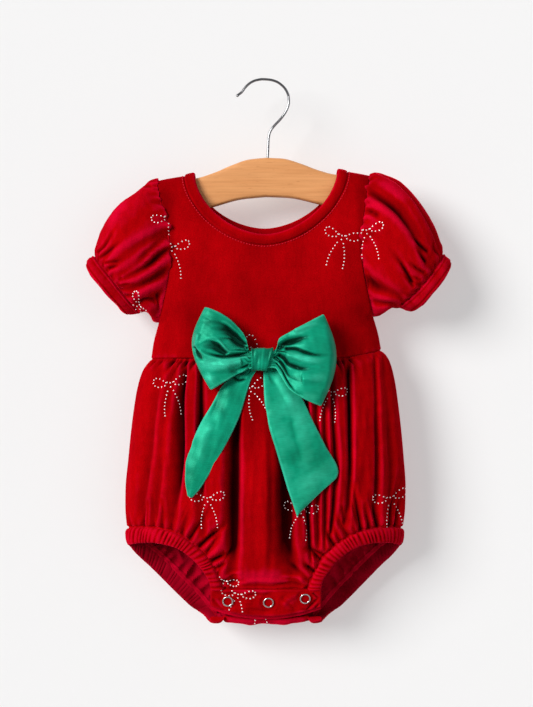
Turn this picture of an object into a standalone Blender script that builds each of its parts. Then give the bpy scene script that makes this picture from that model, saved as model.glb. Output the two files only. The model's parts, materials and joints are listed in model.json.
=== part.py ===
"""A baby's bubble romper of stretch velvet, hung on a child's wooden hanger.

Every piece that a maker cuts and sews on is its own closed wall of cloth: bodice front and
back, neck band, puff sleeves and cuffs, gathered front and back panels, elastic leg casings,
snap plackets and a satin bow. The hanger that carries them is a solid of wood and a bent wire.

Frame: +Z up, the front of the garment faces -Y, and the origin is the inner top of the hook,
where a rail carries it. The garment's own middle hangs 3 mm to one side of it. The tables and
functions work in millimetres, and mesh_object() and tube_object() turn them into metres.
"""

import math
from collections import namedtuple

import bmesh
import bpy
import numpy as np

MM = 0.001

LEFT, RIGHT = -1, 1  # seen from the front: LEFT is -X

# ---------------------------------------------------------------- driving sizes, millimetres
CLOTH = 1.5  # velvet wall
BAND_CLOTH = 2.4  # neck band: velvet folded round the raw edge
CUFF_CLOTH = 2.4
PLACKET_CLOTH = 2.4
SATIN = 1.0
TAIL_SATIN = 1.2
SEAM_GAP = 0.3  # between two pieces that are sewn together
ARMHOLE_GAP = 0.5

SHOULDER_ROLL = 7.8  # height over which the cloth turns over the hanger
ARMHOLE_TOP = -86.2
ARMHOLE_FOOT = -211.0
ARMHOLE_DEPTH = 18.0  # front or back half of the armhole's oval
ARMHOLE_POWER = 2.5
WAIST = -246.0
PLACKET_TOP = -444.6
PLACKET_FOOT = -469.3
PLACKET_HALF = 48.0
SNAP_SPACE = 2.6  # between the two plackets, filled by the fastened snaps
TURN_TOP = -462.0  # the back panel starts to turn forward under the crotch here
TURN_DROP = 16.6
TILT = 0.026  # the hanger hangs one hand's side up, by this slope
WAIST_RISE = 3.4  # the waist seam stands this much higher towards its left end
CORNER_LIFT = 6.0  # and this much higher at its right corner
RISE_REACH = 44.0  # the cloth above and below follows, less and less over this distance
SIDE_DROOP = 2.8  # the skirt hangs this much fuller on its left side
CASING_WIDTH = 13.0

# ---------------------------------------------------------------- the body, section by section
Level = namedtuple("Level", "height half_width front_depth back_depth")
BODICE_LEVELS = (
    Level(-80.0, 91.4, 9.8, 9.8),
    Level(-86.2, 91.2, 10.0, 10.0),
    Level(-105.0, 88.0, 13.0, 12.4),
    Level(-125.0, 85.0, 17.0, 15.5),
    Level(-150.0, 83.5, 20.5, 18.5),
    Level(-170.0, 85.0, 22.5, 19.0),
    Level(-190.0, 88.9, 23.6, 19.0),
    Level(-211.0, 94.3, 24.4, 19.0),
    Level(-228.0, 98.5, 25.2, 19.4),
    Level(-246.0, 101.5, 26.0, 20.0),
)
PANEL_LEVELS = (
    Level(-246.0, 101.5, 26.0, 20.0),
    Level(-250.5, 105.6, 28.0, 21.3),
    Level(-256.0, 109.3, 30.2, 22.6),
    Level(-265.0, 112.6, 34.0, 24.6),
    Level(-276.0, 115.2, 37.6, 26.4),
    Level(-303.0, 118.9, 43.0, 29.0),
    Level(-331.0, 121.6, 45.2, 30.0),
    Level(-358.0, 123.4, 44.8, 30.0),
    Level(-375.0, 123.0, 43.0, 29.4),
    Level(-394.0, 120.7, 39.4, 28.0),
    Level(-409.0, 118.0, 36.0, 26.4),
    Level(-440.0, 116.5, 28.0, 21.6),
    Level(-462.0, 116.0, 21.6, 17.0),
    Level(-480.0, 116.0, 17.0, 14.0),
)
ROUNDNESS = 2.5  # power of the cross-section: 2 is an ellipse, more is boxier
SIDE_CURVE = 0.6

Edge = namedtuple("Edge", "x height")
SHOULDER_LINE = (  # outer face of the cloth along the shoulder seam
    Edge(0.0, -80.6),
    Edge(62.0, -80.6),
    Edge(72.0, -82.2),
    Edge(80.0, -83.7),
    Edge(91.4, -86.2),
    Edge(130.0, -96.0),
)

Neck = namedtuple("Neck", "half_width drop fullness")
BAND_SEAM_FRONT = Neck(72.0, 63.2, 1.9)
BAND_SEAM_BACK = Neck(72.0, 59.0, 1.9)
NECK_EDGE_FRONT = Neck(62.3, 53.8, 1.8)
NECK_EDGE_BACK = Neck(62.3, 50.0, 1.8)
BAND_PROUD = 0.6

# Where the gathered panels end: above the elastic casing, from the side seam to the placket.
FRONT_LEG_SEAM = (
    Edge(120.7, -394.0),
    Edge(111.0, -392.2),
    Edge(100.0, -391.8),
    Edge(82.0, -394.2),
    Edge(66.0, -402.3),
    Edge(50.0, -416.4),
    Edge(43.8, -427.0),
    Edge(39.6, -436.4),
    Edge(36.4, -444.3),
)
FRONT_LEG_EDGE = (  # the open edge of the casing
    Edge(118.4, -408.6),
    Edge(109.0, -405.6),
    Edge(98.0, -404.6),
    Edge(79.6, -407.4),
    Edge(64.4, -416.8),
    Edge(53.4, -429.4),
    Edge(48.6, -438.4),
    Edge(47.8, -444.3),
)
# The back's edges run under the crotch, so they are given by length of cloth below the waist.
Run = namedtuple("Run", "x below_waist")
BACK_LEG_SEAM = (
    Run(120.7, 148.0),
    Run(111.0, 156.4),
    Run(93.5, 171.6),
    Run(71.0, 194.6),
    Run(57.5, 208.4),
    Run(49.5, 218.6),
    Run(45.0, 228.0),
    Run(41.6, 238.0),
    Run(38.6, 247.0),
    Run(36.6, 254.4),
)
BACK_LEG_EDGE = (
    Run(118.4, 162.6),
    Run(113.2, 170.6),
    Run(101.0, 183.2),
    Run(79.8, 205.4),
    Run(64.6, 220.4),
    Run(55.4, 230.0),
    Run(51.6, 238.0),
    Run(49.6, 246.0),
    Run(48.6, 254.4),
)

# Each row is one crease between two gathers. top and foot are shares of the half width, from
# -1 at the wearer's right side seam to 1 at the left, and the depths say how far it cuts in.
Crease = namedtuple("Crease", "top foot depth_top depth_mid depth_foot")
FRONT_CREASES = (
    Crease(-0.88, -0.88, 1.4, 0.8, 2.2),
    Crease(-0.76, -0.77, 2.2, 4.2, 2.4),
    Crease(-0.60, -0.62, 2.0, 1.6, 2.6),
    Crease(-0.47, -0.51, 1.8, 3.6, 2.6),
    Crease(-0.35, -0.41, 1.8, 2.6, 2.4),
    Crease(-0.21, -0.27, 1.6, 3.2, 1.4),
    Crease(0.11, 0.10, 2.0, 5.0, 1.2),
    Crease(0.24, 0.27, 2.2, 3.6, 2.4),
    Crease(0.36, 0.36, 2.4, 4.4, 2.8),
    Crease(0.47, 0.45, 2.6, 4.8, 2.8),
    Crease(0.57, 0.54, 2.6, 5.0, 2.6),
    Crease(0.70, 0.64, 2.8, 5.4, 2.6),
    Crease(0.86, 0.79, 1.4, 2.6, 2.4),
)
BACK_CREASES = (
    Crease(-0.88, -0.86, 1.6, 1.6, 2.2),
    Crease(-0.71, -0.71, 2.2, 3.4, 2.2),
    Crease(-0.54, -0.58, 2.4, 3.8, 2.4),
    Crease(-0.36, -0.42, 2.4, 4.0, 2.2),
    Crease(-0.17, -0.19, 2.2, 3.6, 1.0),
    Crease(0.05, 0.04, 2.2, 3.2, 0.8),
    Crease(0.24, 0.24, 2.4, 4.2, 1.2),
    Crease(0.43, 0.46, 2.4, 3.6, 2.2),
    Crease(0.62, 0.62, 2.2, 3.8, 2.4),
    Crease(0.81, 0.79, 1.8, 2.6, 2.2),
)
CROWN_POWER = 0.75
STEPS_PER_FOLD = 3

# ---------------------------------------------------------------- sleeves
# Where each cuff seam lies, with x away from the middle; a cuff that turns back has a minus.
# crown is how far the sleeve swells upwards as it leaves the top of the armhole.
Cuff = namedtuple("Cuff", "x y z half_length slope turn crown")
CUFFS = {
    LEFT: Cuff(132.4, -1.0, -176.4, 28.6, 49.5, -4.0, -0.34),
    RIGHT: Cuff(136.6, -1.0, -176.2, 29.6, 50.8, -8.0, 0.05),
}
CUFF_HALF_DEPTH = 19.5
CUFF_SECTION = ((0.0, 1.0), (7.5, 0.99), (12.0, 0.87))  # along the cuff, share of its size
PUFF_ENTRY = 0.95  # length of the puff's tangents, as shares of its run
PUFF_EXIT = 1.0
PUFF_ALONG = 0.8
PUFF_INWARD = 0.7

# Angles in degrees round the armhole and the cuff: 90 is the top, 0 the front, -90 the underarm.
SleeveCrease = namedtuple("SleeveCrease", "armhole cuff depth_armhole depth_mid depth_cuff")
SLEEVE_CREASES = {
    LEFT: (
        SleeveCrease(-146, -146, 1.0, 1.2, 2.4),
        SleeveCrease(-100, -100, 0.6, 0.8, 1.8),
        SleeveCrease(-58, -60, 1.0, 1.4, 2.2),
        SleeveCrease(-30, -30, 1.8, 2.4, 3.0),
        SleeveCrease(-7, -8, 2.4, 3.8, 3.2),
        SleeveCrease(14, 14, 2.4, 3.2, 3.0),
        SleeveCrease(38, 38, 2.0, 1.0, 2.6),
        SleeveCrease(66, 66, 1.6, 0.4, 2.0),
        SleeveCrease(100, 100, 1.4, 0.6, 2.0),
        SleeveCrease(136, 138, 1.6, 1.4, 2.4),
        SleeveCrease(174, 176, 1.4, 1.8, 2.4),
    ),
    RIGHT: (
        SleeveCrease(-146, -146, 1.0, 1.2, 2.4),
        SleeveCrease(-98, -98, 0.6, 0.8, 1.8),
        SleeveCrease(-54, -56, 1.2, 1.8, 2.2),
        SleeveCrease(-24, -26, 1.2, 1.4, 2.6),
        SleeveCrease(0, -4, 1.6, 1.8, 3.0),
        SleeveCrease(20, 18, 2.2, 2.2, 3.2),
        SleeveCrease(42, 42, 2.6, 3.6, 2.8),
        SleeveCrease(70, 70, 1.6, 0.6, 2.2),
        SleeveCrease(102, 102, 1.2, 0.6, 2.0),
        SleeveCrease(138, 140, 1.6, 1.4, 2.4),
        SleeveCrease(172, 174, 1.4, 1.6, 2.4),
    ),
}

# ---------------------------------------------------------------- bow
Bed = namedtuple("Bed", "height depth")
BOW_BED = (  # the bow lies on this slightly smoother form, just clear of the garment
    Bed(-190.0, 29.4),
    Bed(-220.0, 29.6),
    Bed(-246.0, 30.2),
    Bed(-256.0, 30.9),
    Bed(-264.0, 34.2),
    Bed(-285.0, 40.6),
    Bed(-310.0, 44.3),
    Bed(-345.0, 45.8),
    Bed(-375.0, 43.6),
    Bed(-400.0, 38.8),
)
KNOT_X, KNOT_Z = -3.1, -245.2
KNOT_WIDTH, KNOT_HEIGHT, KNOT_DEPTH = 19.0, 20.6, 11.4
KNOT_BACK = 32.3
KNOT_NARROWING = 0.3  # the knot's foot is so much narrower than its top
# A row for each section of a loop, from inside the knot to the fold at its end: the section's
# top and foot, how far its middle stands out past them, and how far each layer is off the bed.
LoopRow = namedtuple("LoopRow", "top_x top_z foot_x foot_z bulge back front")
LOOPS = {
    LEFT: (
        LoopRow(-4.2, -238.0, -4.2, -252.5, 0.0, 6.0, 10.6),
        LoopRow(-13.4, -237.8, -13.4, -252.8, 0.0, 6.0, 10.6),
        LoopRow(-17.2, -226.0, -17.6, -254.8, 1.0, 4.8, 11.8),
        LoopRow(-23.6, -216.8, -24.4, -257.6, 3.0, 3.9, 14.4),
        LoopRow(-35.6, -206.2, -33.0, -262.6, 7.0, 3.2, 18.2),
        LoopRow(-47.0, -200.4, -42.4, -268.2, 11.0, 3.4, 17.0),
        LoopRow(-51.4, -198.8, -46.6, -270.6, 13.2, 5.2, 12.8),
        LoopRow(-52.4, -198.6, -47.4, -271.0, 13.8, 7.6, 9.6),
    ),
    RIGHT: (
        LoopRow(-2.0, -238.0, -2.0, -252.5, 0.0, 6.0, 10.6),
        LoopRow(7.2, -237.8, 7.2, -252.8, 0.0, 6.0, 10.6),
        LoopRow(10.8, -227.8, 11.0, -257.4, 1.0, 4.8, 11.8),
        LoopRow(18.4, -223.0, 20.0, -271.6, 3.0, 3.9, 14.4),
        LoopRow(31.0, -216.4, 32.0, -279.6, 6.5, 3.2, 18.2),
        LoopRow(44.0, -210.0, 42.4, -284.4, 10.0, 3.4, 17.0),
        LoopRow(48.6, -207.8, 46.0, -285.8, 11.8, 5.2, 12.8),
        LoopRow(49.6, -207.4, 46.8, -286.2, 12.3, 7.6, 9.6),
    ),
}
Tail = namedtuple("Tail", "left_x left_z right_x right_z lift")
TAILS = {
    LEFT: (
        Tail(-12.0, -240.0, -4.5, -240.0, 0.2),
        Tail(-15.6, -250.0, -6.6, -252.0, 0.3),
        Tail(-25.0, -257.0, -12.8, -262.5, 0.5),
        Tail(-37.0, -266.5, -17.0, -275.5, 0.5),
        Tail(-46.6, -283.0, -22.4, -293.0, 0.5),
        Tail(-57.0, -300.6, -31.0, -311.6, 1.5),
        Tail(-64.2, -318.0, -41.8, -331.0, 0.5),
        Tail(-69.0, -335.0, -51.4, -348.0, 0.9),
        Tail(-69.2, -348.0, -57.2, -357.0, 1.5),
        Tail(-67.0, -362.0, -63.0, -363.6, 1.7),
    ),
    RIGHT: (
        Tail(-2.6, -240.0, 6.0, -240.0, 0.2),
        Tail(-2.4, -252.0, 10.0, -250.5, 0.3),
        Tail(-2.2, -266.0, 20.0, -262.0, 0.5),
        Tail(-1.4, -280.0, 30.4, -278.0, 1.2),
        Tail(1.0, -297.0, 39.4, -297.0, 0.5),
        Tail(8.6, -323.0, 51.0, -320.0, 1.5),
        Tail(15.4, -346.0, 61.4, -342.6, 0.5),
        Tail(18.2, -355.0, 59.4, -351.0, 0.6),
        Tail(21.0, -363.0, 50.0, -359.9, 0.9),
        Tail(23.8, -371.2, 40.2, -369.2, 1.2),
        Tail(26.4, -379.4, 30.6, -378.4, 1.5),
    ),
}

# ---------------------------------------------------------------- snaps and hanger
SNAP_PLACES = (Edge(-33.0, -454.8), Edge(2.0, -455.8), Edge(33.8, -452.4))
RING_OUTER, RING_INNER, RING_PROUD = 4.75, 3.55, 1.1
SNAP_CORE_RADIUS = 4.2

WIRE_RADIUS = 1.15
BOWL_X = -3.2
STEM_X = 1.4
HOOK_LINE = (  # centreline of the wire: up the stem, round the bowl and out to the flared tip
    Edge(1.4, -70.0),
    Edge(1.8, -60.0),
    Edge(2.1, -52.5),
    Edge(2.8, -47.4),
    Edge(4.6, -43.2),
    Edge(7.6, -39.4),
    Edge(11.6, -35.2),
    Edge(15.6, -30.2),
    Edge(18.6, -24.8),
    Edge(20.0, -19.4),
    Edge(19.8, -14.2),
    Edge(17.8, -8.8),
    Edge(14.2, -4.4),
    Edge(9.0, -0.9),
    Edge(3.4, 0.7),
    Edge(-3.2, 1.15),
    Edge(-8.6, 0.3),
    Edge(-13.8, -2.0),
    Edge(-18.2, -6.0),
    Edge(-21.6, -10.4),
    Edge(-24.2, -12.4),
)
WOOD_HALF_THICKNESS = 5.5
WOOD_END = 112.0
WOOD_TOP = (
    Edge(0.0, -68.0),
    Edge(15.0, -69.2),
    Edge(30.0, -73.8),
    Edge(45.0, -79.8),
    Edge(60.0, -84.2),
    Edge(66.0, -84.9),
    Edge(72.0, -85.1),
    Edge(80.0, -85.7),
    Edge(91.0, -88.8),
    Edge(102.0, -93.0),
    Edge(112.0, -98.0),
)
WOOD_FOOT = (
    Edge(0.0, -102.6),
    Edge(20.0, -104.0),
    Edge(47.0, -110.4),
    Edge(75.0, -117.0),
    Edge(102.0, -121.0),
    Edge(112.0, -121.4),
)
STEM_DEPTH = 18.0  # the wire's threaded end stands in a hole this deep in the wood
STEM_CLEARANCE = 0.35


# ---------------------------------------------------------------- curves and tables
def smooth_table(knots, values):
    """A function through the table's points that bends smoothly and never overshoots them."""
    knots, values = np.array(knots, float), np.array(values, float)
    order = np.argsort(knots)
    knots, values = knots[order], values[order]
    slopes = np.diff(values) / np.diff(knots)
    tangents = np.concatenate([slopes[:1], np.zeros(len(knots) - 2), slopes[-1:]])
    for i in range(1, len(knots) - 1):
        if slopes[i - 1] * slopes[i] > 0:
            tangents[i] = 2 / (1 / slopes[i - 1] + 1 / slopes[i])

    def at(x):
        x = np.clip(np.asarray(x, float), knots[0], knots[-1])
        i = np.clip(np.searchsorted(knots, x) - 1, 0, len(knots) - 2)
        step = knots[i + 1] - knots[i]
        t = (x - knots[i]) / step
        value = values[i] * (2 * t**3 - 3 * t**2 + 1) + values[i + 1] * (3 * t**2 - 2 * t**3)
        bend = tangents[i] * (t**3 - 2 * t**2 + t) + tangents[i + 1] * (t**3 - t**2)
        return value + step * bend

    return at


def smooth_path(points):
    """(function of share 0 to 1 along a smooth line through the points, its length)."""
    points = np.array([tuple(p) for p in points], float)
    chord = np.concatenate([[0], np.cumsum(np.linalg.norm(np.diff(points, axis=0), axis=1))])
    columns = [smooth_table(chord, points[:, k]) for k in range(points.shape[1])]
    fine = np.linspace(0, chord[-1], 400)
    line = np.stack([column(fine) for column in columns], axis=1)
    along = np.concatenate([[0], np.cumsum(np.linalg.norm(np.diff(line, axis=0), axis=1))])

    def at(share):
        where = np.interp(np.asarray(share, float) * along[-1], along, fine)
        return np.stack([column(where) for column in columns], axis=-1)

    return at, along[-1]


def ease(t):
    t = np.clip(t, 0, 1)
    return t * t * (3 - 2 * t)


def column_of(levels, name):
    return smooth_table([r.height for r in levels], [getattr(r, name) for r in levels])


shoulder_height = smooth_table([e.x for e in SHOULDER_LINE], [e.height for e in SHOULDER_LINE])
bodice_half_width = column_of(BODICE_LEVELS, "half_width")
bodice_depths = {
    "front": column_of(BODICE_LEVELS, "front_depth"),
    "back": column_of(BODICE_LEVELS, "back_depth"),
}
panel_half_width = column_of(PANEL_LEVELS, "half_width")
panel_depths = {
    "front": column_of(PANEL_LEVELS, "front_depth"),
    "back": column_of(PANEL_LEVELS, "back_depth"),
}
bed_depth = smooth_table([b.height for b in BOW_BED], [b.depth for b in BOW_BED])
FACING = {"front": -1.0, "back": 1.0}


def hang(points):
    """Places points under the hook: the hanger tilts a little, and the cloth follows, less and
    less towards the cuffs and legs. The tables' x = 0 is the middle of the garment."""
    points = np.array(points, float)
    x, z = points[..., 0], points[..., 2]
    by_height = ease((z + 390.0) / 144.0)
    by_reach = 1 - ease((np.abs(x) - 112.0) / 26.0)
    rise = WAIST_RISE * ease((-x - 20.0) / 60.0) + CORNER_LIFT * np.clip((x - 58.0) / 43.0, 0, 1.1) ** 2
    rise = rise * (1 - ease(np.abs(z - WAIST) / RISE_REACH))
    droop = SIDE_DROOP * np.clip(-x / 118.0, 0, 1) ** 2 * ease((-z - 320.0) / 110.0)
    points[..., 2] = z + TILT * x * by_height * by_reach + rise
    points[..., 0] = x - BOWL_X - droop
    return points


def armhole_depth(x, z):
    """Half the thickness of the armhole's oval; its top follows the shoulder line at every x."""
    middle, half = (ARMHOLE_TOP + ARMHOLE_FOOT) / 2, (ARMHOLE_TOP - ARMHOLE_FOOT) / 2
    level = z + (ARMHOLE_TOP - shoulder_height(np.abs(x))) * ease((z + 150.0) / 40.0)
    share = np.abs((level - middle) / half)
    return ARMHOLE_DEPTH * np.sqrt(np.clip(1 - share**ARMHOLE_POWER, 0, 1))


def armhole_height(angles):
    """Heights round the armhole at angles in degrees: 90 is its top and -90 its foot."""
    middle, half = (ARMHOLE_TOP + ARMHOLE_FOOT) / 2, (ARMHOLE_TOP - ARMHOLE_FOOT) / 2
    return middle + half * np.sin(np.radians(angles))


def side_share(across):
    """1 in the middle of a cross-section, falling to 0 at its side seam."""
    return np.clip(1 - np.clip(np.abs(across), 0, 1) ** ROUNDNESS, 0, 1) ** SIDE_CURVE


def bodice_depth(side, x, z):
    """How far the bodice stands in front of, or behind, the hanger's middle plane."""
    below = shoulder_height(np.abs(x)) - z
    roll = np.sqrt(np.clip(1 - (1 - np.clip(below / SHOULDER_ROLL, 0, 1)) ** 2, 0, 1))
    share = side_share(x / bodice_half_width(z))
    return share * roll * bodice_depths[side](z) + (1 - share) * armhole_depth(x, z)


def panel_depth(side, x, z):
    return side_share(x / panel_half_width(z)) * panel_depths[side](z)


def bodice_point(side, x, below):
    """A point of the bodice's outer face: x across, and the drop below the shoulder line."""
    z = shoulder_height(np.abs(x)) - below
    y = FACING[side] * (bodice_depth(side, x, z) + SEAM_GAP / 2)
    return np.stack([x, y, z], axis=-1)


def turn_point(x, run):
    """The back panel below the waist: down the back, then forward under the crotch."""
    straight = WAIST - TURN_TOP
    z = WAIST - np.minimum(run, straight)
    y = panel_depth("back", x, z) + SEAM_GAP / 2
    half_turn = math.pi * math.sqrt((16.5**2 + TURN_DROP**2) / 2)
    angle = np.clip((run - straight) / half_turn * math.pi, 0, math.pi)
    back = panel_depth("back", x, np.full_like(z, TURN_TOP))
    front = panel_depth("front", x, np.full_like(z, TURN_TOP)) - PLACKET_CLOTH - SNAP_SPACE
    y = np.where(run > straight, (back - front) / 2 + (back + front) / 2 * np.cos(angle), y)
    lift = 4.0 * (x / PLACKET_HALF) ** 2 * np.sin(angle) ** 2
    z = np.where(run > straight, TURN_TOP - TURN_DROP * np.sin(angle) + np.minimum(lift, 6.0), z)
    return np.stack([x, y, z], axis=-1)


# ---------------------------------------------------------------- walls of cloth
def grid_normals(grid, wrap=False):
    """Unit normals of a grid of points, rows by columns; wrap joins the last column to the first."""
    if wrap:
        ringed = np.concatenate([grid[:, -1:], grid, grid[:, :1]], axis=1)
        across = (ringed[:, 2:] - ringed[:, :-2]) / 2
    else:
        across = np.gradient(grid, axis=1)
    down = np.gradient(grid, axis=0)
    normals = np.cross(across, down)
    return normals / np.maximum(np.linalg.norm(normals, axis=2, keepdims=True), 1e-9)


def form_normals(at, across, down, hint):
    """Unit normals of the smooth form at(across, down), by small steps both ways."""
    step = 0.2
    tangent_across = at(across + step, down) - at(across - step, down)
    tangent_down = at(across, down + step) - at(across, down - step)
    normals = np.cross(tangent_across, tangent_down)
    return facing(normals / np.linalg.norm(normals, axis=-1, keepdims=True), hint)


def facing(normals, hint):
    """The normals, turned so that on average they point along the hint."""
    return normals if (normals * np.asarray(hint)).sum() > 0 else -normals


def wall_faces(outer, inner, wrap):
    """Faces of the closed wall whose outer grid comes first, then its inner grid.

    Each square is split along the diagonal that lies further out, the same way on both faces,
    so that the wall keeps its thickness where the cloth is bent both ways.
    """
    rows, columns = outer.shape[:2]
    across = np.arange(columns if wrap else columns - 1)
    a, b = outer[:-1][:, across], outer[:-1][:, (across + 1) % columns]
    d, c = outer[1:][:, across], outer[1:][:, (across + 1) % columns]
    out = a - inner[:-1][:, across] + c - inner[1:][:, (across + 1) % columns]
    along_first = ((a + c - b - d) * out).sum(axis=2) >= 0
    faces = []

    def vertex(i, j, layer):
        return layer * rows * columns + i * columns + j % columns

    for i in range(rows - 1):
        for j in across:
            for layer, turn in ((0, 1), (1, -1)):
                square = [vertex(i, j, layer), vertex(i, j + 1, layer)]
                square += [vertex(i + 1, j + 1, layer), vertex(i + 1, j, layer)]
                corners = ((0, 1, 2), (0, 2, 3)) if along_first[i, j] else ((0, 1, 3), (1, 2, 3))
                faces += [[square[k] for k in corner][::turn] for corner in corners]
    for j in across:
        for i in (0, rows - 1):
            faces.append([vertex(i, j, 0), vertex(i, j, 1), vertex(i, j + 1, 1), vertex(i, j + 1, 0)])
    if not wrap:
        for i in range(rows - 1):
            for j in (0, columns - 1):
                faces.append([vertex(i, j, 0), vertex(i + 1, j, 0), vertex(i + 1, j, 1), vertex(i, j, 1)])
    return faces


def mesh_object(name, points, faces, material, smooth_angle=50.0):
    """An object from points in millimetres, with its faces turned outwards."""
    mesh = bpy.data.meshes.new(name)
    mesh.from_pydata((np.asarray(points, float) * MM).tolist(), [], faces)
    work = bmesh.new()
    work.from_mesh(mesh)
    bmesh.ops.recalc_face_normals(work, faces=work.faces)
    work.to_mesh(mesh)
    work.free()
    mesh.shade_smooth()
    mesh.set_sharp_from_angle(angle=math.radians(smooth_angle))
    mesh.materials.append(material)
    piece = bpy.data.objects.new(name, mesh)
    bpy.context.scene.collection.objects.link(piece)
    return piece


def cloth_wall(name, outer, inner, material, wrap=False):
    """A closed wall of cloth between an outer and an inner grid of points."""
    points = np.concatenate([hang(outer).reshape(-1, 3), hang(inner).reshape(-1, 3)])
    return mesh_object(name, points, wall_faces(outer, inner, wrap), material)


def inset(grid, thickness, hint, wrap=False):
    """The grid moved inwards by the thickness."""
    return grid - thickness * facing(grid_normals(grid, wrap), hint)


def keep_side(inner, side):
    """Keeps a front or back wall's inner face on its own side of the side and shoulder seams."""
    limit = FACING[side] * SEAM_GAP / 2
    keep = np.minimum if side == "front" else np.maximum
    inner[..., 1] = keep(inner[..., 1], limit)
    return inner


# ---------------------------------------------------------------- bodice and neck band
NECK_STEPS = 19  # from the shoulder to the middle of the neckline
ROLL_ANGLES = (0.0, 30.0, 60.0, 90.0)  # samples over the hanger, so that the cloth stays round there
BODICE_ROW_SHARES = (0.0, 0.28, 0.56, 0.8, 0.94, 1.0)


def neck_curve(neck, offset=0.0):
    """(x, drop) down one half of a neckline, from the shoulder to its middle."""
    half_width, drop = neck.half_width + offset, neck.drop + offset
    rolled = [SHOULDER_ROLL * (1 - math.cos(math.radians(a))) for a in ROLL_ANGLES]
    start = math.asin((rolled[-1] / drop) ** (neck.fullness / 2))
    angles = np.linspace(start, math.pi / 2, NECK_STEPS - len(rolled) + 2)[1:]
    drops = np.concatenate([rolled, drop * np.sin(angles) ** (2 / neck.fullness)])
    drops[-1] = drop
    xs = half_width * np.clip(1 - (drops / drop) ** neck.fullness, 0, 1) ** (1 / neck.fullness)
    return np.stack([xs, drops], axis=1)


def bodice_outline(steps):
    """(x, drop) along the armhole, side and waist, matching the neckline's samples in number."""
    heights = [ARMHOLE_TOP - SHOULDER_ROLL * (1 - math.cos(math.radians(a))) for a in ROLL_ANGLES]
    armhole_steps, side_steps = 8, 2
    middle, half = (ARMHOLE_TOP + ARMHOLE_FOOT) / 2, (ARMHOLE_TOP - ARMHOLE_FOOT) / 2
    start = math.degrees(math.asin((heights[-1] - middle) / half))
    heights += list(armhole_height(np.linspace(start, -90, armhole_steps + 1)[1:]))
    foot = WAIST + SEAM_GAP / 2
    heights += list(np.linspace(ARMHOLE_FOOT, foot, side_steps + 1)[1:])
    xs = list(bodice_half_width(np.array(heights)))
    corner, waist_steps = xs[-1], steps - len(heights)
    for k in range(1, waist_steps + 1):
        xs.append(corner * (1 - (k / waist_steps) ** 1.4))
    heights += [foot] * waist_steps
    xs, heights = np.array(xs), np.array(heights)
    return np.stack([xs, shoulder_height(xs) - heights], axis=1)


def bodice_panel(side, seam, material):
    neck = neck_curve(seam)
    outline = bodice_outline(len(neck))
    share = np.array(BODICE_ROW_SHARES)[:, None, None]
    half = neck * (1 - share) + outline * share
    mirrored = half[:, -2::-1] * np.array([-1.0, 1.0])
    flat = np.concatenate([half, mirrored], axis=1)
    x, below = flat[..., 0], flat[..., 1]
    outer = bodice_point(side, x, below)

    def at(x, below):
        return bodice_point(side, x, below)

    normals = form_normals(at, x, below, (0, FACING[side], 0))
    rim = outer[-1]
    low = (rim[:, 2] < -150.0) & (rim[:, 2] > WAIST + 1.0)
    front_part = np.abs(rim[low, 1]) / ARMHOLE_DEPTH
    side_part = np.sqrt(np.clip(1 - front_part**2, 0, 1)) + 0.25
    turned = np.stack([np.sign(rim[low, 0]) * side_part, FACING[side] * front_part, 0 * side_part], axis=1)
    normals[-1, low] = turned / np.linalg.norm(turned, axis=1, keepdims=True)
    inner = keep_side(outer - CLOTH * normals, side)
    inner[..., 2] = np.maximum(inner[..., 2], WAIST + SEAM_GAP / 2)
    cloth_wall("bodice_" + side, outer, inner, material)


def neck_ring(neck_front, neck_back, offset):
    """Points round the whole neck, from one shoulder down the front and round by the back."""
    loops = []
    for side, neck in (("front", neck_front), ("back", neck_back)):
        half = neck_curve(neck, offset)
        whole = np.concatenate([half, half[-2::-1] * np.array([-1.0, 1.0])])
        points = bodice_point(side, whole[:, 0], whole[:, 1])
        points[[0, -1], 1] = 0.0
        loops.append(points if side == "front" else points[::-1])
    return np.concatenate([loops[0][:-1], loops[1][:-1]])


def neck_band(material):
    seam = neck_ring(BAND_SEAM_FRONT, BAND_SEAM_BACK, -SEAM_GAP)
    edge = neck_ring(NECK_EDGE_FRONT, NECK_EDGE_BACK, 0.0)
    strip = np.stack([seam, edge])
    hint = (seam - seam.mean(axis=0)) * np.array([0, 1, 0])
    away = facing(grid_normals(strip, wrap=True), hint)
    outer = strip + away * BAND_PROUD
    cloth_wall("neck_band", outer, outer - away * BAND_CLOTH, material, wrap=True)


# ---------------------------------------------------------------- gathered panels
def leg_seam(side):
    """Share along a panel's lower edge, 0 in the middle to 1 at the side, to (x, z or run)."""
    rows = FRONT_LEG_SEAM if side == "front" else BACK_LEG_SEAM
    path, length = smooth_path(rows)
    corner = rows[-1][0]
    corner_share = corner / (corner + length)

    def at(share):
        share = np.asarray(share, float)
        size = np.abs(share)
        on_leg = path(np.clip((1 - size) / (1 - corner_share), 0, 1))
        middle_x = corner * np.clip(size / corner_share, 0, 1)
        middle = np.stack([middle_x, np.full_like(size, rows[-1][1])], axis=-1)
        point = np.where((size > corner_share)[..., None], on_leg, middle)
        return point * np.stack([np.where(share < 0, -1.0, 1.0), np.ones_like(size)], axis=-1)

    return at, corner_share


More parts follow.
